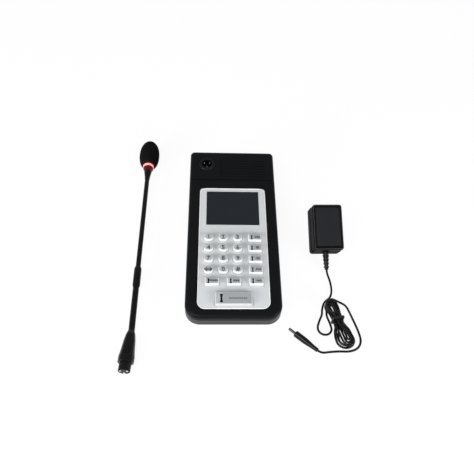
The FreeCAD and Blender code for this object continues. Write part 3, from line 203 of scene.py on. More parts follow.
class CaseSettings(bpy.types.PropertyGroup):
    """The console's case, panel and screen"""

    shell_colour: bpy.props.FloatVectorProperty(
        name="Shell colour", description="Colour of the console's case", subtype="COLOR", size=4,
        default=(0.0056, 0.0062, 0.0076, 1))
    base_colour: bpy.props.FloatVectorProperty(
        name="Base colour", description="Colour of the lower half of the case", subtype="COLOR",
        size=4, default=(0.013, 0.013, 0.014, 1))
    panel_colour: bpy.props.FloatVectorProperty(
        name="Panel colour", description="Colour of the keypad panel", subtype="COLOR", size=4,
        default=(0.60, 0.625, 0.64, 1))
    rim_radius: bpy.props.FloatProperty(
        name="Rim radius", description="Half the thickness of the panel's raised rim",
        unit="LENGTH", default=0.5 * MM)
    screen_colour: bpy.props.FloatVectorProperty(
        name="Screen colour", description="Colour of the dark display", subtype="COLOR", size=4,
        default=(0.013, 0.016, 0.020, 1))
    screen_border: bpy.props.FloatProperty(
        name="Screen border", description="Width of the black border round the display",
        unit="LENGTH", default=1.4 * MM)


class KeySettings(bpy.types.PropertyGroup):
    """The keys and their print"""

    cap_colour: bpy.props.FloatVectorProperty(
        name="Cap colour", description="Colour of the key caps", subtype="COLOR", size=4,
        default=(0.66, 0.67, 0.68, 1))
    # The keys' tops are darker than their sides: partly print, partly painted shade, so that the
    # sides read as lit.
    top_print_and_shade_colour: bpy.props.FloatVectorProperty(
        name="Top colour", description="Colour of the keys' printed tops", subtype="COLOR",
        size=4, default=(0.38, 0.40, 0.415, 1))
    print_colour: bpy.props.FloatVectorProperty(
        name="Print colour", description="Colour of what is printed on the keys",
        subtype="COLOR", size=4, default=(0.045, 0.046, 0.05, 1))
    digit_height: bpy.props.FloatProperty(
        name="Digit height", description="Height of the printed digits", unit="LENGTH",
        default=5.9 * MM)
    slope_width: bpy.props.FloatProperty(
        name="Side slope", description="How far a bar key's sides draw in", unit="LENGTH",
        default=1.25 * MM)
    print_thickness: bpy.props.FloatProperty(
        name="Print thickness", description="How far the print stands proud", unit="LENGTH",
        default=0.03 * MM)


class NeckSettings(bpy.types.PropertyGroup):
    """The gooseneck microphone"""

    rib_pitch: bpy.props.FloatProperty(
        name="Rib pitch", description="Distance between the turns of the flexible tube",
        unit="LENGTH", default=1.5 * MM)
    rib_depth: bpy.props.FloatProperty(
        name="Rib depth", description="Depth of the groove between two turns", unit="LENGTH",
        default=0.09 * MM)
    metal_colour: bpy.props.FloatVectorProperty(
        name="Metal colour", description="Colour of the black metal parts", subtype="COLOR",
        size=4, default=(0.004, 0.004, 0.0045, 1))
    foam_colour: bpy.props.FloatVectorProperty(
        name="Foam colour", description="Colour of the windscreen", subtype="COLOR", size=4,
        default=(0.006, 0.006, 0.0065, 1))
    foam_pores: bpy.props.FloatProperty(
        name="Foam pores", description="How deep the foam's pores are", unit="LENGTH",
        default=0.25 * MM)
    glow_colour: bpy.props.FloatVectorProperty(
        name="Glow colour", description="Colour of the lit ring", subtype="COLOR", size=4,
        default=(1.0, 0.28, 0.28, 1))
    glow_strength: bpy.props.FloatProperty(
        name="Glow strength", description="How brightly the ring is lit", default=1.1)


class CordSettings(bpy.types.PropertyGroup):
    """The power adapter, its lead and the tie"""

    diameter: bpy.props.FloatProperty(
        name="Diameter", description="Diameter of the lead", unit="LENGTH", default=2.8 * MM)
    colour: bpy.props.FloatVectorProperty(
        name="Cord colour", description="Colour of the lead and its mouldings",
        subtype="COLOR", size=4, default=(0.005, 0.005, 0.0055, 1))
    adapter_colour: bpy.props.FloatVectorProperty(
        name="Adapter colour", description="Colour of the adapter's case", subtype="COLOR",
        size=4, default=(0.0055, 0.0055, 0.006, 1))
    plate_colour: bpy.props.FloatVectorProperty(
        name="Plate colour", description="Colour of the adapter's bare plate", subtype="COLOR",
        size=4, default=(0.0125, 0.013, 0.0155, 1))
    tie_colour: bpy.props.FloatVectorProperty(
        name="Tie colour", description="Colour of the wire tie", subtype="COLOR", size=4,
        default=(0.012, 0.012, 0.014, 1))


# Meshes from whole arrays of points

# Points closer together than this are one.
SAME_POINT = 1e-7


def surface(name, grid, wrap=True, caps=True, sharp=40):
    """A skin over a grid of points: rows along the first axis, columns round the second.

    With wrap the last column joins the first one. With caps the first and the last row are each
    closed by a fan from their middle. Edges that turn by more than sharp degrees stay crisp.
    """
    grid = np.asarray(grid, float)
    rows, columns = grid.shape[:2]
    number = np.arange(rows * columns).reshape(rows, columns)
    across = np.roll(number, -1, axis=1) if wrap else number[:, 1:]
    first = number if wrap else number[:, :-1]
    quads = np.stack([first[:-1], across[:-1], across[1:], first[1:]], axis=-1).reshape(-1, 4)
    points = grid.reshape(-1, 3)
    faces = quads.tolist()
    for row, flip in ((0, True), (rows - 1, False)) if caps else ():
        centre = len(points)
        points = np.concatenate([points, grid[row].mean(axis=0)[None]])
        ring = number[row]
        following = np.roll(ring, -1)
        fan = np.stack([ring, following, np.full(columns, centre)], axis=-1)
        faces += (fan[:, ::-1] if flip else fan).tolist()
    return mesh_object(name, points, faces, sharp)


def mesh_object(name, points, faces, sharp=40):
    """An object at the origin with these points and faces, which all face outwards."""
    mesh = bpy.data.meshes.new(name)
    mesh.from_pydata(np.asarray(points).tolist(), [], faces)
    tool = bmesh.new()
    tool.from_mesh(mesh)
    bmesh.ops.recalc_face_normals(tool, faces=tool.faces)
    tool.to_mesh(mesh)
    tool.free()
    mesh.shade_smooth()
    mesh.set_sharp_from_angle(angle=math.radians(sharp))
    piece = bpy.data.objects.new(name, mesh)
    bpy.context.scene.collection.objects.link(piece)
    return piece


def turned(name, place, profile, segments=64, sharp=40, closed=False):
    """A profile of (radius, height) points turned about the y axis of a place.

    Each point becomes the ring (r cos t, h, r sin t) for t all the way round. With closed the
    profile is a loop, which makes a ring with a hole.
    """
    profile = np.asarray(profile, float)
    if closed:
        profile = np.concatenate([profile, profile[:1]])
    angle = np.linspace(0, 2 * math.pi, segments, endpoint=False)
    radius, height = profile[:, :1], profile[:, 1:]
    grid = np.stack([
        radius * np.cos(angle), height + 0 * angle, radius * np.sin(angle)], axis=-1)
    if closed:
        return closed_skin(name, place.out(grid), sharp)
    return surface(name, place.out(grid), sharp=sharp)


def merge_doubles(piece, sharp=40):
    """Joins points that coincide, and turns the faces outwards again."""
    tool = bmesh.new()
    tool.from_mesh(piece.data)
    bmesh.ops.remove_doubles(tool, verts=tool.verts, dist=SAME_POINT)
    bmesh.ops.recalc_face_normals(tool, faces=tool.faces)
    tool.to_mesh(piece.data)
    tool.free()
    piece.data.shade_smooth()
    piece.data.set_sharp_from_angle(angle=math.radians(sharp))


def rounded_outline(width, length, corner, steps=9):
    """Points round a rectangle whose corners are quarter circles, as an array of (x, y).

    Corner k has its centre in from both sides by the corner radius, and runs through the angles
    from k to k + 1 quarters.
    """
    quarter = np.linspace(0, math.pi / 2, steps)
    signs = np.array([(1, 1), (-1, 1), (-1, -1), (1, -1)], float)
    centres = signs * [width / 2 - corner, length / 2 - corner]
    angles = quarter[None, :] + np.arange(4)[:, None] * math.pi / 2
    ring = np.stack([np.cos(angles), np.sin(angles)], axis=-1) * corner
    return (centres[:, None, :] + ring).reshape(-1, 2)


LEAST_CORNER = 0.12 * MM


def outlines(width, length, corner, levels):
    """Rows of rounded outlines, one for each (inset, height) level."""
    rows = []
    for inset, height in levels:
        radius = max(corner - inset, LEAST_CORNER)
        ring = rounded_outline(width - 2 * inset, length - 2 * inset, radius)
        rows.append(np.column_stack([ring, np.full(len(ring), height)]))
    return np.array(rows)


def stacked(name, place, width, length, corner, levels, sharp=40):
    """A block of rounded outlines, one for each (inset, height) level from the bottom up."""
    return surface(name, place.out(outlines(width, length, corner, levels)), sharp=sharp)


def closed_skin(name, rows, sharp=40):
    """A skin whose last row lies on its first one, so that the two are joined."""
    piece = surface(name, rows, caps=False, sharp=sharp)
    merge_doubles(piece, sharp)
    return piece


def swept(name, path, radius, segments=16):
    """A round bead along a closed path of points, given as rows of a (n, 3) array.

    Each ring lies in the plane across the path: the path's direction there comes from its
    neighbours, one side from the cross product with the path's own mean normal.
    """
    path = np.asarray(path, float)
    ahead = np.roll(path, -1, axis=0) - np.roll(path, 1, axis=0)
    ahead /= np.linalg.norm(ahead, axis=1)[:, None]
    centre = path.mean(axis=0)
    normal = np.cross(path[0] - centre, path[len(path) // 4] - centre)
    normal /= np.linalg.norm(normal)
    side = np.cross(ahead, normal)
    angle = np.linspace(0, 2 * math.pi, segments, endpoint=False)
    ring = (side[:, None, :] * np.cos(angle)[None, :, None]
            + normal[None, None, :] * np.sin(angle)[None, :, None])
    grid = path[:, None, :] + radius * ring
    grid = np.concatenate([grid, grid[:1]])
    return closed_skin(name, grid, 60)


def smooth_cad(name, angle=30):
    """Joins a CAD node's loose triangles and keeps its real edges crisp."""
    piece = NODES[name]
    piece.data.polygons.foreach_set("use_smooth", [True] * len(piece.data.polygons))
    weld = piece.modifiers.new("Weld", "WELD")
    weld.merge_threshold = 10 * SAME_POINT
    split = piece.modifiers.new("Edges", "EDGE_SPLIT")
    split.split_angle = math.radians(angle)
    return piece


def rides(piece, body, slot=None, *replaced):
    """Fixes a piece to a body of the model and hides the CAD nodes it replaces."""
    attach(piece, body)
    if replaced:
        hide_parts(*replaced)
    return piece


# Finishes


def new_group(name, inputs, outputs):
    """An empty node group with named sockets, its input and output nodes placed."""
    group = bpy.data.node_groups.new(name, "ShaderNodeTree")
    for label, kind, value in inputs:
        socket = group.interface.new_socket(name=label, in_out="INPUT", socket_type=kind)
        socket.default_value = value
    for label, kind in outputs:
        group.interface.new_socket(name=label, in_out="OUTPUT", socket_type=kind)
    group.nodes.new("NodeGroupInput")
    group.nodes.new("NodeGroupOutput")
    return group


PATCH_DETAIL, GRAIN_DETAIL = 4, 2
GRAIN_DEPTH = 0.1 * MM


def grain_group():
    """Fine moulded grain: two sizes of noise that shade, roughen and dimple the surface."""
    if "moulded_grain" in bpy.data.node_groups:
        return bpy.data.node_groups["moulded_grain"]
    group = new_group("moulded_grain", [
        ("Colour", "NodeSocketColor", (0.5, 0.5, 0.5, 1)),
        ("Second colour", "NodeSocketColor", (0.5, 0.5, 0.5, 1)),
        ("Patch scale", "NodeSocketFloat", 30.0),
        ("Grain scale", "NodeSocketFloat", 1500.0),
        ("Roughness", "NodeSocketFloat", 0.5),
        ("Roughness spread", "NodeSocketFloat", 0.08),
        ("Height", "NodeSocketFloat", 0.05),
    ], [
        ("Colour", "NodeSocketColor"), ("Roughness", "NodeSocketFloat"),
        ("Normal", "NodeSocketVector"),
    ])
    nodes, links = group.nodes, group.links
    source, result = nodes["Group Input"], nodes["Group Output"]
    where = nodes.new("ShaderNodeTexCoord")
    patches = nodes.new("ShaderNodeTexNoise")
    patches.inputs["Detail"].default_value = PATCH_DETAIL
    grain = nodes.new("ShaderNodeTexNoise")
    grain.inputs["Detail"].default_value = GRAIN_DETAIL
    blend = add_node(nodes, "ShaderNodeMix", data_type="RGBA")
    spread = add_node(nodes, "ShaderNodeMath", operation="MULTIPLY_ADD")
    # Noise runs from 0 to 1, so its middle is taken off before it spreads the roughness.
    centred = add_node(nodes, "ShaderNodeMath", operation="SUBTRACT")
    centred.inputs[1].default_value = 0.5
    bump = nodes.new("ShaderNodeBump")
    bump.inputs["Distance"].default_value = GRAIN_DEPTH
    links.new(where.outputs["Object"], patches.inputs["Vector"])
    links.new(where.outputs["Object"], grain.inputs["Vector"])
    links.new(source.outputs["Patch scale"], patches.inputs["Scale"])
    links.new(source.outputs["Grain scale"], grain.inputs["Scale"])
    links.new(patches.outputs["Fac"], blend.inputs["Factor"])
    links.new(source.outputs["Colour"], blend.inputs["A"])
    links.new(source.outputs["Second colour"], blend.inputs["B"])
    links.new(patches.outputs["Fac"], centred.inputs[0])
    links.new(centred.outputs[0], spread.inputs[0])
    links.new(source.outputs["Roughness spread"], spread.inputs[1])
    links.new(source.outputs["Roughness"], spread.inputs[2])
    links.new(grain.outputs["Fac"], bump.inputs["Height"])
    links.new(source.outputs["Height"], bump.inputs["Strength"])
    links.new(blend.outputs["Result"], result.inputs["Colour"])
    links.new(spread.outputs[0], result.inputs["Roughness"])
    links.new(bump.outputs["Normal"], result.inputs["Normal"])
    return group


def shade(colour, factor):
    """The same colour, lighter or darker by a factor."""
    return tuple(min(1.0, channel * factor) for channel in colour[:3]) + (1.0,)


def grained(name, colour, contrast=1.15, patch=30, grain=1500, roughness=0.5, spread=0.1,
            height=0.05, metallic=0.0, specular=0.5):
    """A Principled material whose colour, gloss and bump come from the moulded grain group.

    Its colour runs between the given one divided by the contrast and multiplied by it.
    """
    material = bpy.data.materials.new(name)
    material.use_nodes = True
    nodes, links = material.node_tree.nodes, material.node_tree.links
    shader = nodes["Principled BSDF"]
    group = nodes.new("ShaderNodeGroup")
    group.node_tree = grain_group()
    group.inputs["Colour"].default_value = shade(colour, 1 / contrast)
    group.inputs["Second colour"].default_value = shade(colour, contrast)
    group.inputs["Patch scale"].default_value = patch
    group.inputs["Grain scale"].default_value = grain
    group.inputs["Roughness"].default_value = roughness
    group.inputs["Roughness spread"].default_value = spread
    group.inputs["Height"].default_value = height
    links.new(group.outputs["Colour"], shader.inputs["Base Color"])
    links.new(group.outputs["Roughness"], shader.inputs["Roughness"])
    links.new(group.outputs["Normal"], shader.inputs["Normal"])
    shader.inputs["Metallic"].default_value = metallic
    shader.inputs["Specular IOR Level"].default_value = specular
    return material


def glowing(name, colour, strength):
    """The lit ring: a translucent plastic with light in it."""
    material = grained(name, colour, roughness=0.35)
    shader = material.node_tree.nodes["Principled BSDF"]
    shader.inputs["Emission Color"].default_value = colour
    shader.inputs["Emission Strength"].default_value = strength
    return material


def paint(piece, material):
    """Gives a piece or a CAD node one material."""
    piece.data.materials.clear()
    piece.data.materials.append(material)
    return piece


def paint_nodes(material, *names, angle=30):
    """Gives CAD nodes one material, their edges crisp past an angle."""
    for name in names:
        paint(smooth_cad(name, angle), material)


def finish(names, material_name, colour, **look):
    """Gives CAD nodes a grained finish of their own."""
    paint_nodes(grained(material_name, colour, **look), *names)


def add_node(nodes, kind, **settings):
    """A new shader node with some of its settings, such as its operation."""
    node = nodes.new(kind)
    for name, value in settings.items():
        setattr(node, name, value)
    return node


# Stage


class PAGING_OT_stage(bpy.types.Operator):
    """Lays the white table, sets the lamps and puts the camera where the photograph was taken"""

    bl_idname = "paging.stage"
    bl_label = "Stage"

    def execute(self, context):
        settings = context.scene.paging_stage
        set_camera(context.scene)
        lay_floor(settings)
        light_world(context.scene, settings)
        # No lamp stands where the sloping top mirrors the camera, so black plastic stays black.
        lamp("near_lamp", NEAR_LAMP_AT, LAMP_AIM, NEAR_LAMP_SIZE, settings.near_light)
        lamp("far_lamp", FAR_LAMP_AT, LAMP_AIM, FAR_LAMP_SIZE, settings.far_light)
        for side in (-1, 1):
            across = side * CORNER_REACH * math.sin(CORNER_ANGLE)
            down = -CORNER_REACH * math.cos(CORNER_ANGLE)
            fill = lamp(f"corner_lamp_{side}", (across, down, FILL_HEIGHT), CORNER_AIM, FILL_SIZE,
                        settings.corner_light)
            # Gloss shows the small low lamp alone, so the black top has no glare from behind.
            fill.visible_glossy = False
            lamp(f"glint_lamp_{side}", (across, down, GLINT_HEIGHT), CORNER_AIM, GLINT_SIZE,
                 settings.glint_light)
        return {"FINISHED"}


# Where the lamps stand, what they face and how large they are, in metres
NEAR_LAMP_AT, NEAR_LAMP_SIZE = (-0.72, -0.95, 1.3), (0.9, 0.8)
FAR_LAMP_AT, FAR_LAMP_SIZE = (0.0, 1.4, 0.5), (1.6, 0.5)
LAMP_AIM, CORNER_AIM = (0, 0, 0), (0, -0.08, 0)
CORNER_ANGLE, CORNER_REACH = math.radians(52), 1.1
FILL_HEIGHT, FILL_SIZE = 0.3, (0.6, 0.35)
GLINT_HEIGHT, GLINT_SIZE = 0.12, (0.3, 0.12)
# A little over 1, so that the table is plain white
WHITE_STRENGTH = 1.03
SENSOR_WIDTH = 36
# The camera stands in front of the console and looks down at it. Its place is given from the
# middle of the console's case, its axes as right, up and back.
CAMERA_AT = (-0.0235, -0.3874, 0.5396)
CAMERA_AXES = (
    (0.99891, -0.02108, 0.04221),
    (-0.00934, 0.80564, 0.59234),
    (-0.04575, -0.59201, 0.80457),
)
FOCAL_PIXELS = 470
IMAGE_PIXELS = 474


def console_middle():
    """The middle of the console's case, on the table."""
    return middle("base_shell") * (1, 1, 0)


def pose_of(axes, place):
    """The matrix whose columns are three axes and a place."""
    pose = np.eye(4)
    pose[:3, :3] = np.stack(axes, axis=1)
    pose[:3, 3] = place
    return Matrix(pose.tolist())


def set_camera(scene):
    """The camera and its lens: focal length over sensor width is focal over image pixels."""
    lens = bpy.data.cameras.new("camera")
    lens.sensor_width = SENSOR_WIDTH
    lens.lens = SENSOR_WIDTH * FOCAL_PIXELS / IMAGE_PIXELS
    lens.clip_start = 0.01
    camera = bpy.data.objects.new("camera", lens)
    camera.matrix_world = pose_of(CAMERA_AXES, console_middle() + CAMERA_AT)
    scene.collection.objects.link(camera)
    scene.camera = camera


def lay_floor(settings):
    """A white table: mirrors and glass see it plain white, the camera with a faint shadow."""
    half = settings.floor_size / 2
    points = [(-half, -half, 0), (half, -half, 0), (half, half, 0), (-half, half, 0)]
    mesh = bpy.data.meshes.new("table")
    mesh.from_pydata(points, [], [(0, 1, 2, 3)])
    floor = bpy.data.objects.new("table", mesh)
    bpy.context.scene.collection.objects.link(floor)
    material = bpy.data.materials.new("table_white")
    material.use_nodes = True
    nodes, links = material.node_tree.nodes, material.node_tree.links
    shader = nodes["Principled BSDF"]
    shader.inputs["Base Color"].default_value = settings.floor_colour
    shader.inputs["Roughness"].default_value = 0.9
    shader.inputs["Specular IOR Level"].default_value = 0.0
    white = nodes.new("ShaderNodeEmission")
    white.inputs["Strength"].default_value = WHITE_STRENGTH
    path = nodes.new("ShaderNodeLightPath")
    seen = add_node(nodes, "ShaderNodeMath", operation="MULTIPLY")
    seen.inputs[1].default_value = 1 - settings.shadow
    mirrored = add_node(nodes, "ShaderNodeMath", operation="MAXIMUM")
    both = add_node(nodes, "ShaderNodeMath", operation="MAXIMUM")
    mix = nodes.new("ShaderNodeMixShader")
    links.new(path.outputs["Is Camera Ray"], seen.inputs[0])
    links.new(path.outputs["Is Glossy Ray"], mirrored.inputs[0])
    links.new(path.outputs["Is Transmission Ray"], mirrored.inputs[1])
    links.new(seen.outputs[0], both.inputs[0])
    links.new(mirrored.outputs[0], both.inputs[1])
    links.new(both.outputs[0], mix.inputs["Fac"])
    links.new(shader.outputs["BSDF"], mix.inputs[1])
    links.new(white.outputs["Emission"], mix.inputs[2])
    links.new(mix.outputs["Shader"], nodes["Material Output"].inputs["Surface"])
    mesh.materials.append(material)


def light_world(scene, settings):
    """Even light from all round, which the camera sees as white."""
    world = bpy.data.worlds.new("studio")
    world.use_nodes = True
    nodes, links = world.node_tree.nodes, world.node_tree.links
    background = nodes["Background"]
    background.inputs["Color"].default_value = (1, 1, 1, 1)
    path = nodes.new("ShaderNodeLightPath")
    strength = nodes.new("ShaderNodeMix")
    strength.inputs["A"].default_value = settings.world_strength
    strength.inputs["B"].default_value = 1.0
    links.new(path.outputs["Is Camera Ray"], strength.inputs["Factor"])
    links.new(strength.outputs["Result"], background.inputs["Strength"])
    scene.world = world


def lamp(name, place, target, size, power):
    """A soft rectangular lamp that faces its target."""
    light = bpy.data.lights.new(name, "AREA")
    light.shape = "RECTANGLE"
    light.size, light.size_y = size
    light.energy = power
    lamp_object = bpy.data.objects.new(name, light)
    back = np.array(place, float) - np.array(target, float)
    back /= np.linalg.norm(back)
    right = np.cross((0, 0, 1), back)
    right /= np.linalg.norm(right)
    lamp_object.matrix_world = pose_of((right, np.cross(back, right), back), place)
    bpy.context.scene.collection.objects.link(lamp_object)
    return lamp_object


# Console


class PAGING_OT_case(bpy.types.Operator):
    """Finishes the console's case, sockets, speaker, feet and screws"""

    bl_idname = "paging.case"
    bl_label = "Case"

    def execute(self, context):
        settings = context.scene.paging_case
        shell = grained("black_case", settings.shell_colour, roughness=0.36, spread=0.06,
                        grain=2600, height=0.1, specular=0.1)
        base = grained("dark_base", settings.base_colour, roughness=0.42, grain=2600, height=0.1,
                       specular=0.4)
        paint_nodes(shell, "top_cover")
        paint_nodes(base, "base_shell")
        finish(["mic_socket", "speaker_frame"], "black_metal", (0.006, 0.006, 0.007, 1),
               roughness=0.34, specular=0.3)
        speaker_mesh(settings)
        finish(["socket_pins"], "contact_pins", (0.42, 0.40, 0.36, 1), roughness=0.3, metallic=1.0)
        finish(["speaker_cone"], "speaker_paper", (0.02, 0.02, 0.02, 1), roughness=0.9, height=0.3)
        finish(["rear_ports"], "port_plastic", (0.015, 0.015, 0.016, 1), roughness=0.45)
        finish(["feet"], "foot_rubber", (0.02, 0.02, 0.02, 1), roughness=0.85)
        finish(["case_screws"], "screw_steel", (0.55, 0.55, 0.54, 1), roughness=0.3, metallic=1.0)
        return {"FINISHED"}


# The slots over the speaker. Heights count from the panel, which stands out of the top.
GRILLE_SLOTS = 7
GRILLE_WIDTH, GRILLE_PITCH, GRILLE_SLOT = 65 * MM, 4.6 * MM, 1.9 * MM
PANEL_PROUD = 0.8 * MM
# The cloth strips: how much darker they are than the case, the gap to a slot's walls, the corners
# and (inset, height) levels
CLOTH_SHADE, CLOTH_GAP, CLOTH_CORNER = 0.8, 0.15 * MM, 0.7 * MM
CLOTH_LEVELS = [(0, -1.2 * MM), (0, -0.4 * MM), (0.2 * MM, -0.3 * MM)]


def speaker_mesh(settings):
    """Dark woven strips set just under the mouths of the slots over the speaker."""
    cloth = grained("speaker_cloth", shade(settings.shell_colour, CLOTH_SHADE), contrast=1.6,
                    patch=900, roughness=0.8, height=0.5, specular=0.15)
    low, high = SLOPE.box("speaker_cone")
    centre = (low + high) / 2
    for number in range(GRILLE_SLOTS):
        away = (number - (GRILLE_SLOTS - 1) / 2) * GRILLE_PITCH
        place = SLOPE.moved(centre[0], centre[1] + away, -PANEL_PROUD)
        strip = stacked(f"speaker_mesh_{number + 1}", place, GRILLE_WIDTH - 2 * CLOTH_GAP,
                        GRILLE_SLOT - 2 * CLOTH_GAP, CLOTH_CORNER, CLOTH_LEVELS)
        paint(rides(strip, "set", "black_metal"), cloth)


class PAGING_OT_panel(bpy.types.Operator):
    """Finishes the silver panel, its raised rim with a painted highlight and the dark screen"""

    bl_idname = "paging.panel"
    bl_label = "Panel and screen"

    def execute(self, context):
        settings = context.scene.paging_case
        silver = grained("silver_paint", settings.panel_colour, contrast=1.02, roughness=0.38,
                         spread=0.06, grain=4000, height=0.05)
        paint_nodes(silver, "keypad_panel")
        low, high = SLOPE.box("keypad_panel")
        rim = bead_round("panel_rim", SLOPE.moved(0, 0, -RIM_SUNK),
                         (high - low)[:2] - 2 * settings.rim_radius, RIM_CORNER,
                         settings.rim_radius, 16)
        # The rim is lighter than the panel: a painted highlight along its rounded edge.
        bright = grained("rim_painted_highlight", (0.86, 0.87, 0.88, 1), roughness=0.25)
        paint(rides(rim, "set", "silver_panel"), bright)
        finish(["key_board", "main_board"], "circuit_board", (0.02, 0.10, 0.05, 1), roughness=0.5)
        finish(["key_mat"], "key_mat_rubber", (0.35, 0.36, 0.37, 1), roughness=0.8)
        finish(["lcd_module"], "display_module", (0.03, 0.03, 0.03, 1), roughness=0.6)
        build_screen(settings)
        return {"FINISHED"}


RIM_CORNER, RIM_SUNK = 9 * MM, 0.1 * MM
# The screen's corners and bevel, and the thickness of the border printed on it
SCREEN_CORNER, SCREEN_BEVEL, BORDER_THICKNESS = 0.6 * MM, 0.25 * MM, 0.03 * MM
BORDER_OUTER_CORNER, BORDER_INNER_CORNER = 0.5 * MM, 0.4 * MM


def bead_round(name, place, size, corner, radius, steps):
    """A round bead along a rounded rectangle in the plane of a place."""
    ring = rounded_outline(size[0], size[1], corner, steps)
    return swept(name, place.out(np.column_stack([ring, np.zeros(len(ring))])), radius)


def build_screen(settings):
    """The display window: a glossy dark slab with a black border printed round it."""
    low, high = SLOPE.box("screen_lens")
    centre = (low + high) / 2
    place = SLOPE.moved(centre[0], centre[1], high[2])
    width, length = high[0] - low[0], high[1] - low[1]
    depth = high[2] - low[2]
    levels = [(0, -depth), (0, -SCREEN_BEVEL), (SCREEN_BEVEL, 0)]
    slab = stacked("screen_window", place, width, length, SCREEN_CORNER, levels)
    glass = grained("dark_display", settings.screen_colour, contrast=1.04, patch=12,
                    roughness=0.22, spread=0.03, height=0.0, specular=0.3)
    paint(rides(slab, "set", "screen", "screen_lens"), glass)
    rows = []
    outer = (SCREEN_BEVEL, BORDER_OUTER_CORNER)
    inner = (settings.screen_border, BORDER_INNER_CORNER)
    for (inset, corner), height in (
        (outer, 0), (outer, BORDER_THICKNESS), (inner, BORDER_THICKNESS), (inner, 0), (outer, 0),
    ):
        ring = rounded_outline(width - 2 * inset, length - 2 * inset, corner)
        rows.append(np.column_stack([ring, np.full(len(ring), height)]))
    border = closed_skin("screen_border", place.out(np.array(rows)), 30)
    black = grained("border_print", (0.010, 0.011, 0.013, 1), roughness=0.3, height=0.0)
    paint(rides(border, "set", "screen"), black)


# Keys

# How much lighter or darker these finishes are than the colours a user sets
TALK_SHADE, TOP_SHADE, WINDOW_SHADE, PALE_SHADE = 0.75, 1.12, 0.85, 3.5


class PAGING_OT_keys(bpy.types.Operator):
    """Makes the oval number keys and the bar keys with their print and light pipes"""

    bl_idname = "paging.keys"
    bl_label = "Keys"

    def execute(self, context):
        settings = context.scene.paging_keys
        cap = grained("key_plastic", settings.cap_colour, contrast=1.03, patch=60, grain=3000,
                      roughness=0.36, spread=0.06, height=0.06)
        # The talk key's cap is a darker copy of the key plastic: painted shade that dims its lit
        # near side.
        shaded_talk_cap = grained("talk_key_painted_shade", shade(settings.cap_colour, TALK_SHADE),
                          contrast=1.03, patch=60, grain=3000, roughness=0.5, height=0.06)
        # The top finish is partly print and partly painted shade: darker than the lighter,
        # lit-looking sides of each cap.
        top = grained("key_top_print_and_shade", shade(settings.top_print_and_shade_colour, TOP_SHADE), contrast=1.03, patch=60,
                      grain=3000, roughness=0.42, spread=0.06, height=0.04)
        window = grained("sign_window", shade(settings.top_print_and_shade_colour, WINDOW_SHADE), contrast=1.05,
                         patch=60, grain=3000, roughness=0.4, height=0.03)
        printed = grained("key_print", settings.print_colour, roughness=0.5)
        # Pale ink: the talk key's print, and the painted shade of the arcs beside each digit.
        pale = grained("pale_print_and_shade_arcs", shade(settings.print_colour, PALE_SHADE), roughness=0.5)
        lamp_plastic = grained("light_pipe", (0.008, 0.008, 0.009, 1), roughness=0.25,
                               specular=0.3)
        for name in DIGIT_KEYS:
            digit_key(name, settings, (cap, top), printed, pale)
        for name in BAR_KEYS:
            ink = pale if name == "talk_key" else printed
            finishes = (shaded_talk_cap if name == "talk_key" else cap, top)
            bar_key(name, settings, finishes, (ink, window), lamp_plastic)
        return {"FINISHED"}


def key_place(name):
    """A place over the middle of a key, the key's size over its flange, and its top's height."""
    low, high = SLOPE.box(name)
    middle_x, middle_y = (low[0] + high[0]) / 2, (low[1] + high[1]) / 2
    return SLOPE.moved(middle_x, middle_y, 0), high - low, high[2]


# Every key stands on a flange of this width and thickness, under the panel.
FLANGE = 1.0 * MM
# A number key's crown: how high and how wide it is, and the power that rounds it
CROWN_RISE, CROWN_WIDTH, CROWN_POWER, CAP_CORNER = 2.6 * MM, 2.9 * MM, 2.2, 4.8 * MM
CROWN_SHOULDER, CROWN_ROWS = 0.4 * MM, 14
# How far a face's normal rises out of the panel where a key's darker top begins, partly print and
# partly painted shade
DIGIT_TOP_RISE, BAR_TOP_RISE = 0.93, 0.98
DIGIT_BOLDNESS = 0.22 * MM
# The star pair is set larger and lower than a digit.
STARS_SCALE, STARS_DROP = 1.5, 0.2 * MM
# A built-in figure is this much smaller than its nominal size.
FIGURE_SCALE, FIGURE_STEPS = 1.35, 4
# The dark arcs at the cap's sides, painted shade of the cap's edge: half their angle in degrees,
# and (inset, height) round their section
ARC_ANGLE, ARC_STEPS = 34, 12
ARC_SECTION = np.array([(1.4, -0.04), (1.4, 0.05), (0.7, 0.05), (0.7, -0.04)]) * MM
# The low lips of the panel round the number keys' holes
LIP_WIDTH, LIP_HEIGHT, LIP_GAP, LIP_ROOT = 1.4 * MM, 0.35 * MM, 0.7 * MM, 0.3 * MM


def flange(foot):
    """The levels of a key's flange, from its foot up to the cap's side."""
    return [(-FLANGE, foot), (-FLANGE, foot + FLANGE), (0, foot + FLANGE)]


def crown(way_in):
    """How far a number cap's crown lies under its top, at a share s of the crown's width inwards.

    That is the rise times 1 - (1 - (1 - s)^p)^(1/2), with p the crown's power.
    """
    return CROWN_RISE * (1 - np.sqrt(1 - (1 - way_in) ** CROWN_POWER))


def paint_shaded_top(piece, place, materials, least):
    """Two finishes: the faces whose normals rise at least so far out of the place get the top,
    whose darker tone against the lighter sides is partly print and partly painted shade.
    """
    paint(piece, materials[0])
    piece.data.materials.append(materials[1])
    count = len(piece.data.polygons)
    normals = np.empty(count * 3)
    piece.data.polygons.foreach_get("normal", normals)
    rise = normals.reshape(-1, 3) @ place.turn[:, 2]
    piece.data.polygons.foreach_set("material_index", (rise > least).astype(int))
    return piece


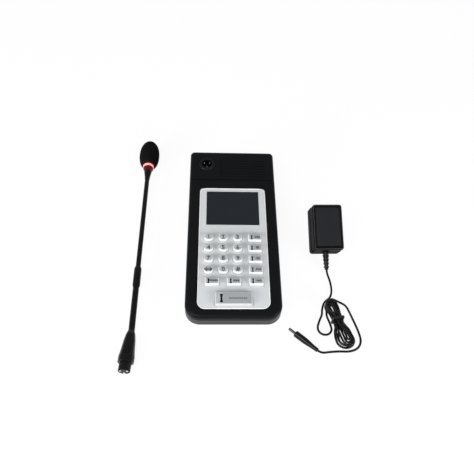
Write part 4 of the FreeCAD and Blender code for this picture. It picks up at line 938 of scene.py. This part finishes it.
def digit_key(name, settings, finishes, printed, pale):
    """An oval cap on its flange: straight sides, then the crown, with a printed sign and two arcs
    of painted shade.
    """
    place, size, top = key_place(name)
    width, length = size[0] - 2 * FLANGE, size[1] - 2 * FLANGE
    way_in = np.linspace(0, 1, CROWN_ROWS)
    levels = flange(top - size[2]) + [(0, top - CROWN_RISE - CROWN_SHOULDER)]
    levels += list(zip(CROWN_WIDTH * way_in, top - crown(way_in)))
    piece = stacked(f"{name}_cap", place, width, length, CAP_CORNER, levels)
    paint_shaded_top(rides(piece, name, "key_cap", name), place, finishes, DIGIT_TOP_RISE)
    symbol = name.split("_")[-1]
    symbol = {"left": "**", "right": "#"}.get(symbol, symbol)
    scale, drop = (STARS_SCALE, STARS_DROP) if symbol == "**" else (1, 0)
    mark = lettering(f"{name}_print", symbol, settings.digit_height * scale,
                     place.moved(0, -drop, top), settings.print_thickness, DIGIT_BOLDNESS)
    paint(rides(mark, name, "key_cap"), printed)
    # Two dark arcs at the cap's sides: painted shade of its edges.
    for side in (-1, 1):
        arc = painted_shade_arc(f"{name}_arc_{'left' if side < 0 else 'right'}", place, side, width, top)
        paint(rides(arc, name, "key_cap"), pale)
    key_lip(name, place, width, length, finishes[0])


def key_lip(name, place, width, length, material):
    """A low raised lip of the panel round the key's hole: half an ellipse across its width."""
    turn = np.linspace(0, math.pi, 9)
    levels = [
        (-LIP_GAP - LIP_WIDTH / 2 * (1 - np.cos(angle)), LIP_HEIGHT * np.sin(angle))
        for angle in turn
    ]
    levels = [(-LIP_GAP, -LIP_ROOT)] + levels + [(-LIP_GAP - LIP_WIDTH, -LIP_ROOT)]
    rows = outlines(width, length, CAP_CORNER, levels + levels[:1])
    lip = closed_skin(f"{name}_lip", place.out(rows))
    paint(rides(lip, "set", "silver_panel"), material)


def painted_shade_arc(name, place, side, width, top):
    """A short dark arc beside the digit, painted shade of the cap's edge, parallel with the cap's
    edge and on its crown.
    """
    angle = np.radians(np.linspace(-ARC_ANGLE, ARC_ANGLE, ARC_STEPS))
    rows = []
    for inset, proud in ARC_SECTION:
        radius = CAP_CORNER - inset
        x = side * (width / 2 - CAP_CORNER + radius * np.cos(angle))
        height = top - crown(inset / CROWN_WIDTH) + proud
        rows.append(np.column_stack([x, radius * np.sin(angle), np.full(len(angle), height)]))
    return closed_strip(name, place, rows, 30)


def closed_strip(name, place, rows, sharp=40):
    """A closed strip: its rows run round its section, and its two ends are filled."""
    grid = np.array(rows + rows[:1])
    piece = surface(name, place.out(grid), wrap=False, caps=False, sharp=sharp)
    merge_doubles(piece, sharp)
    close_ends(piece)
    return piece


def close_ends(piece):
    """Fills the open ends of a strip."""
    tool = bmesh.new()
    tool.from_mesh(piece.data)
    bmesh.ops.holes_fill(tool, edges=[edge for edge in tool.edges if edge.is_boundary], sides=8)
    bmesh.ops.recalc_face_normals(tool, faces=tool.faces)
    tool.to_mesh(piece.data)
    tool.free()


def lettering(name, text, height, place, thickness, boldness):
    """Printed figures: built-in font outlines with a little thickness, centred on a place."""
    curve = bpy.data.curves.new(name, "FONT")
    curve.body = text
    curve.align_x = "CENTER"
    curve.align_y = "CENTER"
    curve.size = height * FIGURE_SCALE
    curve.extrude = thickness
    curve.offset = boldness
    curve.resolution_u = FIGURE_STEPS
    temporary = bpy.data.objects.new(name + "_text", curve)
    bpy.context.scene.collection.objects.link(temporary)
    bpy.context.view_layer.update()
    mesh = bpy.data.meshes.new_from_object(temporary)
    bpy.data.objects.remove(temporary)
    flat = np.empty(len(mesh.vertices) * 3)
    mesh.vertices.foreach_get("co", flat)
    points = flat.reshape(-1, 3)
    points[:, :2] -= (points[:, :2].min(axis=0) + points[:, :2].max(axis=0)) / 2
    mesh.vertices.foreach_set("co", place.out(points).ravel())
    mesh.update()
    piece = bpy.data.objects.new(name, mesh)
    bpy.context.scene.collection.objects.link(piece)
    merge_doubles(piece, 30)
    return piece


def bar_key(name, settings, finishes, inks, lamp_plastic):
    """A bar cap: sides that draw in towards a flat top, a light pipe and a printed sign."""
    place, size, top = key_place(name)
    width, length = size[0] - 2 * FLANGE, size[1] - 2 * FLANGE
    slope = settings.slope_width
    levels = flange(top - size[2]) + BAR_FOOT
    levels += [(share * slope + inset, top - down) for share, inset, down in BAR_EDGE]
    piece = stacked(f"{name}_cap", place, width, length, BAR_CORNER, levels, 50)
    paint_shaded_top(rides(piece, name, "key_cap", name), place, finishes, BAR_TOP_RISE)
    lamp_in, lamp_width = TALK_LAMP if name == "talk_key" else BAR_LAMP
    lamp_x = lamp_in - width / 2
    slot = light_pipe(f"{name}_lamp", place.moved(lamp_x, -LAMP_DROP, top), length * LAMP_SHARE,
                      lamp_width)
    paint(rides(slot, name, "key_cap"), lamp_plastic)
    start, end = lamp_x + WINDOW_PAST_LAMP, width / 2 - slope - WINDOW_RIM
    window = stacked(f"{name}_window", place.moved((start + end) / 2, 0, top), end - start,
                     length - 2 * slope - 2 * WINDOW_RIM, WINDOW_CORNER,
                     [(0, -WINDOW_PROUD), (0, WINDOW_PROUD)])
    paint(rides(window, name, "key_cap"), inks[1])
    sign_x, sign_y, columns, rows, bar_width, bar_height = SIGNS[name]
    for number in range(columns * rows):
        column, row = number % columns, number // columns
        x = sign_x + (column - (columns - 1) / 2) * (bar_width + SIGN_GAP)
        y = sign_y + (row - (rows - 1) / 2) * (bar_height + SIGN_GAP)
        bar = stacked(f"{name}_sign_{number}", place.moved(x * MM, y * MM, top),
                      bar_width * MM, bar_height * MM, SIGN_CORNER,
                      [(0, 0), (0, WINDOW_PROUD + settings.print_thickness)])
        paint(rides(bar, name, "key_cap"), inks[0])


# A bar cap from its flange up: (inset, height) levels of its foot, then its edge as the share of
# the slope's width, a further inset and how far it lies under the top
BAR_CORNER = 1.6 * MM
BAR_FOOT = [(0, 0.3 * MM), (0.08 * MM, 0.5 * MM)]
BAR_EDGE = [
    (0.9, 0, 0.45 * MM), (1, 0, 0.25 * MM), (1, 0.2 * MM, 0.06 * MM), (1, 0.5 * MM, 0),
    (1, 1.4 * MM, 0),
]
# A light pipe: how far it lies from the cap's left side and its width, then what they share
BAR_LAMP, TALK_LAMP = (4.9 * MM, 3.0 * MM), (8.1 * MM, 4.6 * MM)
LAMP_SHARE, LAMP_DROP, LAMP_STEPS, LAMP_WAIST = 0.6, 0.7 * MM, 25, 0.55
# (share of its half width, height) round the lens
LAMP_SECTION = (
    (-1, -0.3 * MM), (-0.96, 0.06 * MM), (-0.6, 0.14 * MM), (0.6, 0.14 * MM), (0.96, 0.06 * MM),
    (1, -0.3 * MM),
)
# The flat field that carries the sign
WINDOW_PAST_LAMP, WINDOW_RIM, WINDOW_CORNER = 2.2 * MM, 0.9 * MM, 0.5 * MM
WINDOW_PROUD = 0.02 * MM
SIGN_CORNER, SIGN_GAP = 0.2 * MM, 0.45

# Plain signs made of bars, in millimetres: where, columns, rows, and a bar's width and height
SIGNS = {
    "side_key_1": (3.2, 0, 3, 1, 1.8, 2.3), "side_key_2": (2.9, 0, 1, 2, 3.8, 1.3),
    "side_key_3": (2.9, 0, 2, 2, 1.7, 1.3), "side_key_4": (3.0, 0, 4, 1, 1.3, 2.3),
    "lower_key_1": (2.0, 0, 5, 1, 1.9, 2.2), "lower_key_2": (2.6, 0, 3, 1, 2.1, 2.1),
    "lower_key_3": (3.0, 0, 4, 1, 1.2, 2.1), "talk_key": (5.2, -0.6, 9, 1, 2.1, 2.2),
}


def light_pipe(name, place, length, width):
    """A dark lens, narrow in the middle.

    Its width at a share a of its half length is the width times w + (1 - w) * a^2, with w the
    share of its waist.
    """
    along = np.linspace(-1, 1, LAMP_STEPS)
    half = width / 2 * (LAMP_WAIST + (1 - LAMP_WAIST) * along**2)
    y = along * length / 2
    rows = [
        np.column_stack([side * half, y, np.full(len(y), height)]) for side, height in LAMP_SECTION
    ]
    return closed_strip(name, place, rows)


# Gooseneck microphone


class PAGING_OT_neck(bpy.types.Operator):
    """Makes the flexible neck, its sleeve, plug and collar, the lit ring and the foam"""

    bl_idname = "paging.neck"
    bl_label = "Gooseneck microphone"

    def execute(self, context):
        settings = context.scene.paging_neck
        metal = grained("neck_metal", settings.metal_colour, roughness=0.42, grain=2500,
                        height=0.08, specular=0.2)
        flexible_neck(settings, metal)
        paint_nodes(metal, "neck_sleeve", "latch_tab", angle=35)
        satin = grained("plug_metal", settings.metal_colour, roughness=0.24, spread=0.06,
                        grain=2500, height=0.04, specular=0.3)
        paint_nodes(satin, "plug_shell", angle=35)
        collar = grained("collar_metal", settings.metal_colour, roughness=0.4, specular=0.2)
        lit_by_ring(collar, COLLAR_GLOW)
        paint_nodes(collar, "head_collar", angle=35)
        finish(["plug_insert"], "plug_nose", (0.005, 0.005, 0.005, 1), roughness=0.45,
               specular=0.2)
        contact = grained("plug_contacts_metal", (0.85, 0.82, 0.75, 1), roughness=0.18, metallic=1)
        paint_nodes(contact, "plug_contacts")
        contact_mouths(contact)
        glow = glowing("lit_ring", settings.glow_colour, settings.glow_strength)
        paint_nodes(glow, "light_ring")
        finish(["mic_capsule"], "capsule_metal", (0.5, 0.5, 0.5, 1), roughness=0.4, metallic=1)
        foam(settings)
        return {"FINISHED"}


# Where the plug's contacts stand round its axis, in degrees, and a mouth's (radius, depth) profile
CONTACT_ANGLES, CONTACT_SECTOR = (30, 150, -90), 60
MOUTH_PROFILE = np.array([(0.5, 1.4), (0.8, 0.2), (0.9, 0), (1.3, 0), (1.35, 1.4)]) * MM
MOUTH_PROUD = 0.04 * MM
# How far the lit ring's light reaches over the collar and over the foam, and its colour there
COLLAR_GLOW, FOAM_GLOW = 5 * MM, 2.5 * MM
GLOW_LIGHT = (0.10, 0.002, 0.004, 1)


def contact_mouths(metal):
    """A bright flared mouth at each of the plug's contacts, flush with the face of its nose."""
    points = PLUG.inside(corners("plug_contacts"))
    around = np.degrees(np.arctan2(points[:, 2], points[:, 0]))
    for number, angle in enumerate(CONTACT_ANGLES):
        near = points[np.abs((around - angle + 180) % 360 - 180) < CONTACT_SECTOR]
        centre = (near.min(axis=0) + near.max(axis=0)) / 2
        place = PLUG.moved(centre[0], -MOUTH_PROUD, centre[2])
        mouth = turned(f"contact_mouth_{number + 1}", place, MOUTH_PROFILE, 24, closed=True)
        paint(rides(mouth, "set", "contact"), metal)


def lit_by_ring(material, reach):
    """A dark red glow on what lies within reach of the lit ring, strongest beside it."""
    nodes, links = material.node_tree.nodes, material.node_tree.links
    ring = NECK.box("light_ring")
    where = nodes.new("ShaderNodeTexCoord")
    away = add_node(nodes, "ShaderNodeVectorMath", operation="DISTANCE")
    away.inputs[1].default_value = tuple(NECK.out((ring[0] + ring[1]) / 2))
    fade = nodes.new("ShaderNodeMapRange")
    fade.inputs["From Min"].default_value = radius_of("light_ring") + reach
    fade.inputs["From Max"].default_value = radius_of("light_ring")
    red = add_node(nodes, "ShaderNodeMix", data_type="RGBA")
    red.inputs["A"].default_value = (0, 0, 0, 1)
    red.inputs["B"].default_value = GLOW_LIGHT
    links.new(where.outputs["Object"], away.inputs[0])
    links.new(away.outputs["Value"], fade.inputs["Value"])
    links.new(fade.outputs["Result"], red.inputs["Factor"])
    shader = nodes["Principled BSDF"]
    links.new(red.outputs["Result"], shader.inputs["Emission Color"])
    shader.inputs["Emission Strength"].default_value = 1.0


# Points on each rib of the neck, and on the shortest length of it
RIB_POINTS, LEAST_POINTS = 6, 12
# How far the neck reaches into the set and under its sleeves, and the longest and shortest half
# length round a joint
NECK_ROOT, NECK_OVERLAP = 1.5 * MM, 1 * MM
LONG_BEND, SHORT_BEND = 13 * MM, 6 * MM


def ribbed_profile(start, end, radius, pitch, depth):
    """Rows of (radius, height): at the height h the radius is less by d * ((1 - cos t) / 2)^3.

    Here d is the depth, and t makes a whole turn in each pitch of h.
    """
    count = max(int(round((end - start) / pitch * RIB_POINTS)), LEAST_POINTS)
    height = np.linspace(start, end, count + 1)
    dip = 0.5 - 0.5 * np.cos(2 * math.pi * height / pitch)
    return np.column_stack([radius - depth * dip**3, height])


def flexible_neck(settings, metal):
    """The neck as ribbed lengths, one round each joint, that meet half way between joints."""
    lower = radius_of("lower_neck_near")
    upper = radius_of("upper_neck_mid")
    joints = ["root_lift", "lower_swing", "middle_lift", "upper_swing", "head_lift"]
    at = [along_neck(name) for name in joints]
    sleeve = NECK.box("neck_sleeve")
    collar = NECK.box("head_collar")[0][1]
    reach = [
        (-NECK_ROOT, at[1] / 2), (at[1] / 2, sleeve[0][1] + NECK_OVERLAP),
        (sleeve[1][1] - NECK_OVERLAP, (at[2] + at[3]) / 2),
        ((at[2] + at[3]) / 2, (at[3] + at[4]) / 2),
        ((at[3] + at[4]) / 2, collar + NECK_OVERLAP),
    ]
    stands_for = [
        ("lower_neck_near",), ("lower_neck_far",), ("upper_neck_near",), ("upper_neck_mid",),
        ("upper_neck_far",),
    ]
    for number, (start, end) in enumerate(reach):
        radius = lower if number < 2 else upper
        profile = ribbed_profile(start, end, radius, settings.rib_pitch, settings.rib_depth)
        piece = turned(f"neck_length_{number + 1}", NECK, profile, 28, sharp=80)
        half = max(min(at[number] - start, end - at[number], LONG_BEND), SHORT_BEND)
        tuple(NECK.out([0, at[number] - half * (number > 0), 0]))
        tuple(NECK.out([0, at[number] + half, 0]))
        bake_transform(piece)
        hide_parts(*stands_for[number])
        paint(piece, metal)


def radius_of(name):
    """The radius of a round node of the neck, across the neck."""
    low, high = NECK.box(name)
    return (high[0] - low[0]) / 2


# The foam's skin: rows along it and columns round it, the share of its length where it is widest,
# and the power that rounds its far end
FOAM_ROWS, FOAM_COLUMNS = 200, 260
FOAM_WIDEST, FOAM_POWER = 0.42, 2.3
# How far its mouth stands out over the lit ring, its bore, and the share of its length bored out
FOAM_MOUTH, FOAM_BORE, FOAM_DEPTH = 0.4 * MM, 6.2 * MM, 0.66
# Pores grow shallower where the foam's radius is under this, and never reach its axis.
PORE_RADIUS, LEAST_RADIUS = 3 * MM, 0.02 * MM


def foam(settings):
    """The windscreen: an egg with a bore for the capsule, whose skin is porous.

    Its radius at a share s of its length is m + (r - m) * (1 - n^2)^(1/2) up to its widest place
    at w, where n = (w - s) / w, m is the radius of its mouth and r its largest radius. Beyond w
    it is r * (1 - f^p)^(1/2), where f = (s - w) / (1 - w). Noise in the radius makes the pores.
    """
    low, high = NECK.box("windscreen")
    radius = radius_of("windscreen")
    start, end = low[1], high[1]
    mouth = radius_of("light_ring") + FOAM_MOUTH
    share = np.linspace(0, 1, FOAM_ROWS)
    near = np.clip((FOAM_WIDEST - share) / FOAM_WIDEST, 0, 1)
    far = np.clip((share - FOAM_WIDEST) / (1 - FOAM_WIDEST), 0, 1)
    near_radius = mouth + (radius - mouth) * np.sqrt(1 - near**2)
    far_radius = radius * np.sqrt(np.clip(1 - far**FOAM_POWER, 0, 1))
    profile = np.where(share < FOAM_WIDEST, near_radius, far_radius)[:, None]
    angle = np.linspace(0, 2 * math.pi, FOAM_COLUMNS, endpoint=False)
    seeded = np.random.default_rng(7)
    pores = seeded.normal(0, 1, (FOAM_ROWS, FOAM_COLUMNS))
    pores = (pores + np.roll(pores, 1, 0) + np.roll(pores, 1, 1)) / 3
    depth = np.abs(pores) * settings.foam_pores * np.minimum(1, profile / PORE_RADIUS)
    skin = np.maximum(profile - depth, LEAST_RADIUS)
    height = start + (end - start) * share[:, None] + 0 * angle
    outside = np.stack([skin * np.cos(angle), height, skin * np.sin(angle)], axis=-1)
    inside = np.array([
        np.stack([FOAM_BORE * np.cos(angle), h + 0 * angle, FOAM_BORE * np.sin(angle)], axis=-1)
        for h in (start + FOAM_DEPTH * (end - start), start)])
    grid = np.concatenate([inside, outside])
    piece = surface("windscreen_foam", NECK.out(grid), sharp=180)
    sponge = grained("windscreen_sponge", settings.foam_colour, contrast=1.5, patch=900,
                     grain=2200, roughness=0.95, spread=0.05, height=0.8, specular=0.1)
    lit_by_ring(sponge, FOAM_GLOW)
    paint(rides(piece, "head", "foam", "windscreen"), sponge)


# Power adapter and its cord


class PAGING_OT_adapter(bpy.types.Operator):
    """Finishes the adapter's case and pins"""

    bl_idname = "paging.adapter"
    bl_label = "Power adapter"

    def execute(self, context):
        settings = context.scene.paging_cord
        finish(["adapter_base", "adapter_cover"], "adapter_plastic", settings.adapter_colour,
               roughness=0.42, grain=2200, height=0.15, specular=0.01)
        bare_plate(settings)
        finish(["adapter_pins"], "adapter_pin_steel", (0.62, 0.62, 0.60, 1), roughness=0.25,
               metallic=1)
        finish(["adapter_board"], "adapter_circuit", (0.05, 0.08, 0.05, 1), roughness=0.6)
        return {"FINISHED"}


# The plate: what its sides leave free of the face, how far it sits up the face, its corners and
# its (inset, height) levels
PLATE_MARGINS, PLATE_UP, PLATE_CORNER = np.array([8, 10]) * MM, 0.5 * MM, 1.2 * MM
PLATE_LEVELS = [(0, -0.1 * MM), (0, 0.05 * MM), (0.15 * MM, 0.12 * MM), (2 * MM, 0.12 * MM)]
# The light bead round the adapter's face, a painted highlight along its edges: its inset, corners,
# depth and radius
EDGE_INSET, EDGE_CORNER, EDGE_SUNK, EDGE_RADIUS = 1.3 * MM, 2.4 * MM, 0.08 * MM, 0.22 * MM


def bare_plate(settings):
    """The bare rating plate, a thin satin sheet, and a fine light bead round the adapter's face, a
    painted highlight along its edges.
    """
    low, high = ADAPTER.box("adapter_cover")
    centre, size = (low + high)[:2] / 2, (high - low)[:2]
    place = ADAPTER.moved(centre[0], centre[1] + PLATE_UP, high[2])
    width, length = size - PLATE_MARGINS
    plate = stacked("bare_rating_plate", place, width, length, PLATE_CORNER, PLATE_LEVELS)
    satin = grained("plate_film", settings.plate_colour, contrast=1.2, patch=60, grain=900,
                    roughness=0.5, height=0.1, specular=0.2)
    paint(rides(plate, "set", "adapter_black"), satin)
    bead = bead_round("adapter_edge_bead", ADAPTER.moved(*centre, high[2] - EDGE_SUNK),
                      size - 2 * EDGE_INSET, EDGE_CORNER, EDGE_RADIUS, 12)
    # Lighter than the case: a painted highlight along the face's edges.
    edge = grained("adapter_edge", (0.09, 0.09, 0.095, 1), roughness=0.35)
    paint(rides(bead, "set", "adapter_black"), edge)


class PAGING_OT_cord(bpy.types.Operator):
    """Lays the adapter's lead with its tied hank, its strain relief and its plug"""

    bl_idname = "paging.cord"
    bl_label = "Lead"

    def execute(self, context):
        settings = context.scene.paging_cord
        rubber = grained("cord_rubber", settings.colour, roughness=0.2, grain=1800, height=0.05,
                         specular=0.3)
        paint_nodes(rubber, "cord_boot", "dc_plug_grip", angle=35)
        # The rings' lighter colour is a painted highlight on the ribs of the strain relief.
        boot_rings(grained("boot_ring_painted_highlight", shade(settings.colour, RING_SHADE), roughness=0.4))
        finish(["dc_plug_barrel"], "barrel_metal", (0.10, 0.10, 0.105, 1), roughness=0.3,
               metallic=1)
        finish(["hank_tie"], "tie_plastic", settings.tie_colour, roughness=0.4)
        paint(lay_cord(settings), rubber)
        return {"FINISHED"}


# The rings round the strain relief: how much lighter they are than the lead, which is a painted
# highlight on their ribs, where they stand as shares of its length, how far along it its width is
# looked for, their own radius and how deep they sit
RING_SHADE, RINGS_AT, RING_REACH = 12, (0.16, 0.36, 0.56, 0.76), 0.13
RING_RADIUS, RING_SUNK = 0.3 * MM, 0.1 * MM
# The lead's route lies in millimetres from the middle of the set's layout, as in the model. It is
# LEAD from the strain relief to the hank, the hank, then TAIL to the plug, and it leaves the hank
# and meets the plug straight on for LEAD_END and TAIL_END.
LAYOUT_AT = (-1, -1.5, 0)
LEAD = [
    (131.6, -61, 0), (132.4, -75.5, 0), (129, -87.5, 0), (119.8, -93.5, 0), (115.6, -104, 0),
    (114.6, -112.5, 0), (110.6, -119.5, 0), (105.8, -131.2, 0), (109.6, -139, 0),
    (118.2, -140.4, 0), (124.4, -134.6, 0),
]
TAIL = [
    (146, -102.4, 7), (150.7, -111.5, 2.8), (154.4, -122.5, 0), (157.7, -135.5, 0),
    (159.2, -148.3, 0), (153.8, -158, 0), (142.7, -162.2, 0), (129.5, -161.6, 0),
    (117.5, -162.4, 0),
]
LEAD_END, TAIL_END = 8, 5
# Millimetres between the lead and the table
CORD_LIFT = 0.03
# Each point's own radius scales the round profile and counts in the curve's box, so it is small.
POINT_SCALE = 0.001
# The hank's waist lies at its own place's middle, its eye above that and its belly below it. The
# stub is where the lead comes in.
HANK_AT = (132.2, -121.8, 2)
HANK_TURN = math.radians(15)
HANK_STUB = (-9.7, 7.9, 0)
WIRE_STEP, LAYER_STEP = 3.6, 3.3
WAIST = 1.5 * WIRE_STEP
EYE, EYE_AT, EYE_TOP = 7, 20, 27
BELLY, BELLY_AT, BELLY_END = 11.1, 26, 36.5
# Half way to the belly a turn leans outwards by so many times the angle of the straight way.
SWERVE = 1.9
# The last turn stops at this angle round the eye, and the lead runs on straight before and after
# the hank for so far.
EYE_STOP, RUN_IN, RUN_OUT = math.radians(45), 2.8, 9.3
# The (wire, layer) slot that each turn starts in, then the stations that it passes, then where it
# changes over to the next slot
SLOTS = [(0, 0), (1, 0), (1, 1), (0, 1), (0, 2), (1, 2), (1, 3), (0, 3)]
STATIONS = [
    "eye_left", "eye_top", "eye_right", "waist_right", "belly_right_start", "belly_right",
    "belly_end", "belly_left", "belly_left_start", "waist_left",
]
CHANGE_AT = {
    0: "waist_left", 1: "belly_left_start", 2: "belly_end", 3: "belly_right",
    4: "belly_right_start", 5: "waist_right", 6: "eye_left",
}
# For each layer: how much its belly is shorter, leans to the right and is narrower
LAYER_SHORT = (0, 1.6, 0.6, 3.2)
LAYER_LEAN = (0, 0.6, 1.0, 1.2)
LAYER_NARROW = (0, 1.4, 4.2, 6.0)


def station(name, slot):
    """Where a turn of the hank passes a station, and its direction, in the hank's own place."""
    inset, z = slot[0] * WIRE_STEP, slot[1] * LAYER_STEP
    short, lean = LAYER_SHORT[slot[1]], LAYER_LEAN[slot[1]]
    widest = BELLY - LAYER_NARROW[slot[1]]
    waist, eye, belly = WAIST - inset, EYE - inset, widest - inset
    belly_at = BELLY_AT - short
    half_way = (WAIST + widest) / 2 - inset
    spread = math.atan((widest - WAIST) / belly_at)
    tilt = math.atan(lean / belly_at)
    out, back = math.degrees(SWERVE * (spread + tilt)), math.degrees(SWERVE * (spread - tilt))
    x, y, angle = {
        "waist_left": (-waist, 0, 90),
        "eye_left": (-eye, EYE_AT, 90),
        "eye_top": (0, EYE_TOP - inset, 0),
        "eye_right": (eye, EYE_AT, -90),
        "waist_right": (waist, 0, -90),
        "belly_right_start": (half_way + lean / 2, -belly_at / 2, -90 + out),
        "belly_right": (belly + lean, -belly_at, -90),
        "belly_end": (lean, inset + short - BELLY_END, -180),
        "belly_left": (lean - belly, -belly_at, 90),
        "belly_left_start": (lean / 2 - half_way, -belly_at / 2, 90 - back),
    }[name]
    angle = math.radians(angle)
    return np.array([x, y, z]), np.array([math.cos(angle), math.sin(angle), 0])


def hank_points():
    """The hank's control points: where the tangents of neighbouring stations meet.

    Between two stations the tangents are followed for the same reach, found from the condition
    that the two corners lie two reaches apart, and each corner is one control point.
    """
    stops = [(np.array(HANK_STUB), np.array([0, 1, 0]))]
    last = len(SLOTS) - 2
    for loop in range(last + 1):
        for name in STATIONS[:2] if loop == last else STATIONS:
            changed = STATIONS.index(name) >= STATIONS.index(CHANGE_AT[loop])
            stops.append(station(name, SLOTS[loop + changed]))
    cosine, sine = math.cos(EYE_STOP), math.sin(EYE_STOP)
    end = [EYE * cosine, EYE_TOP - EYE + EYE * sine, SLOTS[-1][1] * LAYER_STEP]
    stops.append((np.array(end), np.array([sine, -cosine, 0])))
    points = [stops[0][0] - RUN_IN * stops[0][1]]
    for (here, way), (there, way_on) in zip(stops, stops[1:]):
        step, both = there - here, way + way_on
        square = 2 * (1 - way @ way_on)
        along = step @ both
        if square < 1e-9:
            reach = step @ step / (2 * along)
        else:
            reach = (math.sqrt(along**2 + square * (step @ step)) - along) / square
        points += [here + way * reach, there - way_on * reach]
    points.append(stops[-1][0] + RUN_IN * stops[-1][1])
    points.append(stops[-1][0] + RUN_OUT * stops[-1][1])
    return np.array(points)


def layout_place():
    """The layout's own middle, on the table, which lies a little off the console's middle."""
    return Place(console_middle() + np.array(LAYOUT_AT) * MM, (1, 0, 0), (0, 1, 0))


def on_table(places, floor):
    """Places in millimetres of the layout as points of the set, none lower than the floor."""
    points = layout_place().out(np.array(places) * MM)
    points[:, 2] = np.maximum(points[:, 2], floor)
    return points


def lay_cord(settings):
    """The whole lead as one smooth curve: from the strain relief, round the hank, to the plug."""
    hank = layout_place().moved(*np.array(HANK_AT) * MM)
    cosine, sine = math.cos(HANK_TURN), math.sin(HANK_TURN)
    hank = Place(hank.at, (cosine, sine, 0), (-sine, cosine, 0))
    boot_end, boot_way = tip_of("cord_boot", "adapter_base")
    grip_end, grip_way = tip_of("dc_plug_grip", "dc_plug_barrel")
    floor = settings.diameter / 2 + CORD_LIFT * MM
    landing = boot_end + boot_way * ((boot_end[2] - floor) / max(-boot_way[2], 1e-6))
    turns = hank.out(hank_points() * MM)
    before = turns[0] - hank.turn[:, 1] * LEAD_END * MM
    after = grip_end + grip_way * TAIL_END * MM
    points = np.concatenate([
        boot_end[None], landing[None], on_table(LEAD, floor), before[None], turns,
        on_table(TAIL, floor), after[None], grip_end[None],
    ])
    curve = bpy.data.curves.new("power_lead", "CURVE")
    curve.dimensions = "3D"
    curve.bevel_depth = settings.diameter / 2 / POINT_SCALE
    curve.bevel_resolution = 5
    spline = curve.splines.new("NURBS")
    spline.points.add(len(points) - 1)
    spline.points.foreach_set("co", np.column_stack([points, np.ones(len(points))]).ravel())
    spline.points.foreach_set("radius", np.full(len(points), POINT_SCALE))
    spline.order_u = 3
    spline.use_endpoint_u = True
    spline.resolution_u = 8
    curve.use_fill_caps = True
    lead = bpy.data.objects.new("power_lead", curve)
    bpy.context.scene.collection.objects.link(lead)
    rides(lead, "set", "cord_black", "cord_lead", "cord_hank", "cord_tail")
    return lead


def boot_rings(material):
    """Fine raised rings round the strain relief, each as wide as the relief is there, lighter than
    the lead as a painted highlight.
    """
    end, way = tip_of("cord_boot", "adapter_base")
    place = Place(end, np.cross(way, (0, 0, 1)), -way)
    points = place.inside(corners("cord_boot"))
    away = np.hypot(points[:, 0], points[:, 2])
    length = points[:, 1].max()
    turn = np.linspace(0, 2 * math.pi, 12, endpoint=False)
    section = RING_RADIUS * np.column_stack([np.cos(turn), np.sin(turn)])
    for number, share in enumerate(RINGS_AT):
        near = np.abs(points[:, 1] - share * length) < RING_REACH * length
        at = (away[near].max() - RING_SUNK, share * length)
        ring = turned(f"boot_ring_{number + 1}", place, section + at, 32, closed=True)
        paint(rides(ring, "set", "cord_black"), material)


def tip_of(name, neighbour):
    """The end of a turned piece that points away from its neighbour, and its direction there."""
    points = corners(name)
    centre = points.mean(axis=0)
    axis = np.linalg.eigh(np.cov((points - centre).T))[1][:, -1]
    if axis @ (centre - corners(neighbour).mean(axis=0)) < 0:
        axis = -axis
    reach = (points - centre) @ axis
    end = points[reach > reach.max() - 0.1 * MM].mean(axis=0)
    return end, axis


class PAGING_PT_panel(bpy.types.Panel):
    """Offers each piece's operator and its settings"""

    bl_label = "Paging Set"
    bl_space_type = "VIEW_3D"
    bl_region_type = "UI"
    bl_category = "Paging Set"

    def draw(self, context):
        """One button for each piece, then one box for each group of settings."""
        layout = self.layout
        for operator in OPERATORS:
            layout.operator(operator.bl_idname)
        for group in SETTINGS:
            settings = getattr(context.scene, group)
            box = layout.box()
            box.label(text=group.replace("paging_", "").capitalize())
            for name in settings.bl_rna.properties.keys():
                if name not in ("rna_type", "name"):
                    box.prop(settings, name)


OPERATORS = (
    PAGING_OT_stage, PAGING_OT_case, PAGING_OT_panel, PAGING_OT_keys, PAGING_OT_neck,
    PAGING_OT_adapter, PAGING_OT_cord,
)
SETTINGS = {
    "paging_stage": StageSettings, "paging_case": CaseSettings, "paging_keys": KeySettings,
    "paging_neck": NeckSettings, "paging_cord": CordSettings,
}


def register():
    """Adds the operators, the panel and the settings to Blender."""
    for group in SETTINGS.values():
        bpy.utils.register_class(group)
    for operator in OPERATORS:
        bpy.utils.register_class(operator)
    bpy.utils.register_class(PAGING_PT_panel)
    for name, group in SETTINGS.items():
        setattr(bpy.types.Scene, name, bpy.props.PointerProperty(type=group))


def unregister():
    """Takes away what register adds, in the other order."""
    for name in SETTINGS:
        delattr(bpy.types.Scene, name)
    bpy.utils.unregister_class(PAGING_PT_panel)
    for operator in OPERATORS[::-1]:
        bpy.utils.unregister_class(operator)
    for group in SETTINGS.values():
        bpy.utils.unregister_class(group)


def main():
    """Makes the whole set."""
    register()
    bpy.ops.paging.stage()
    bpy.ops.paging.case()
    bpy.ops.paging.panel()
    bpy.ops.paging.keys()
    bpy.ops.paging.neck()
    bpy.ops.paging.adapter()
    bpy.ops.paging.cord()
    bpy.context.scene.view_settings.view_transform = "Standard"
    bpy.context.view_layer.update()


if __name__ == "__main__":
    main()
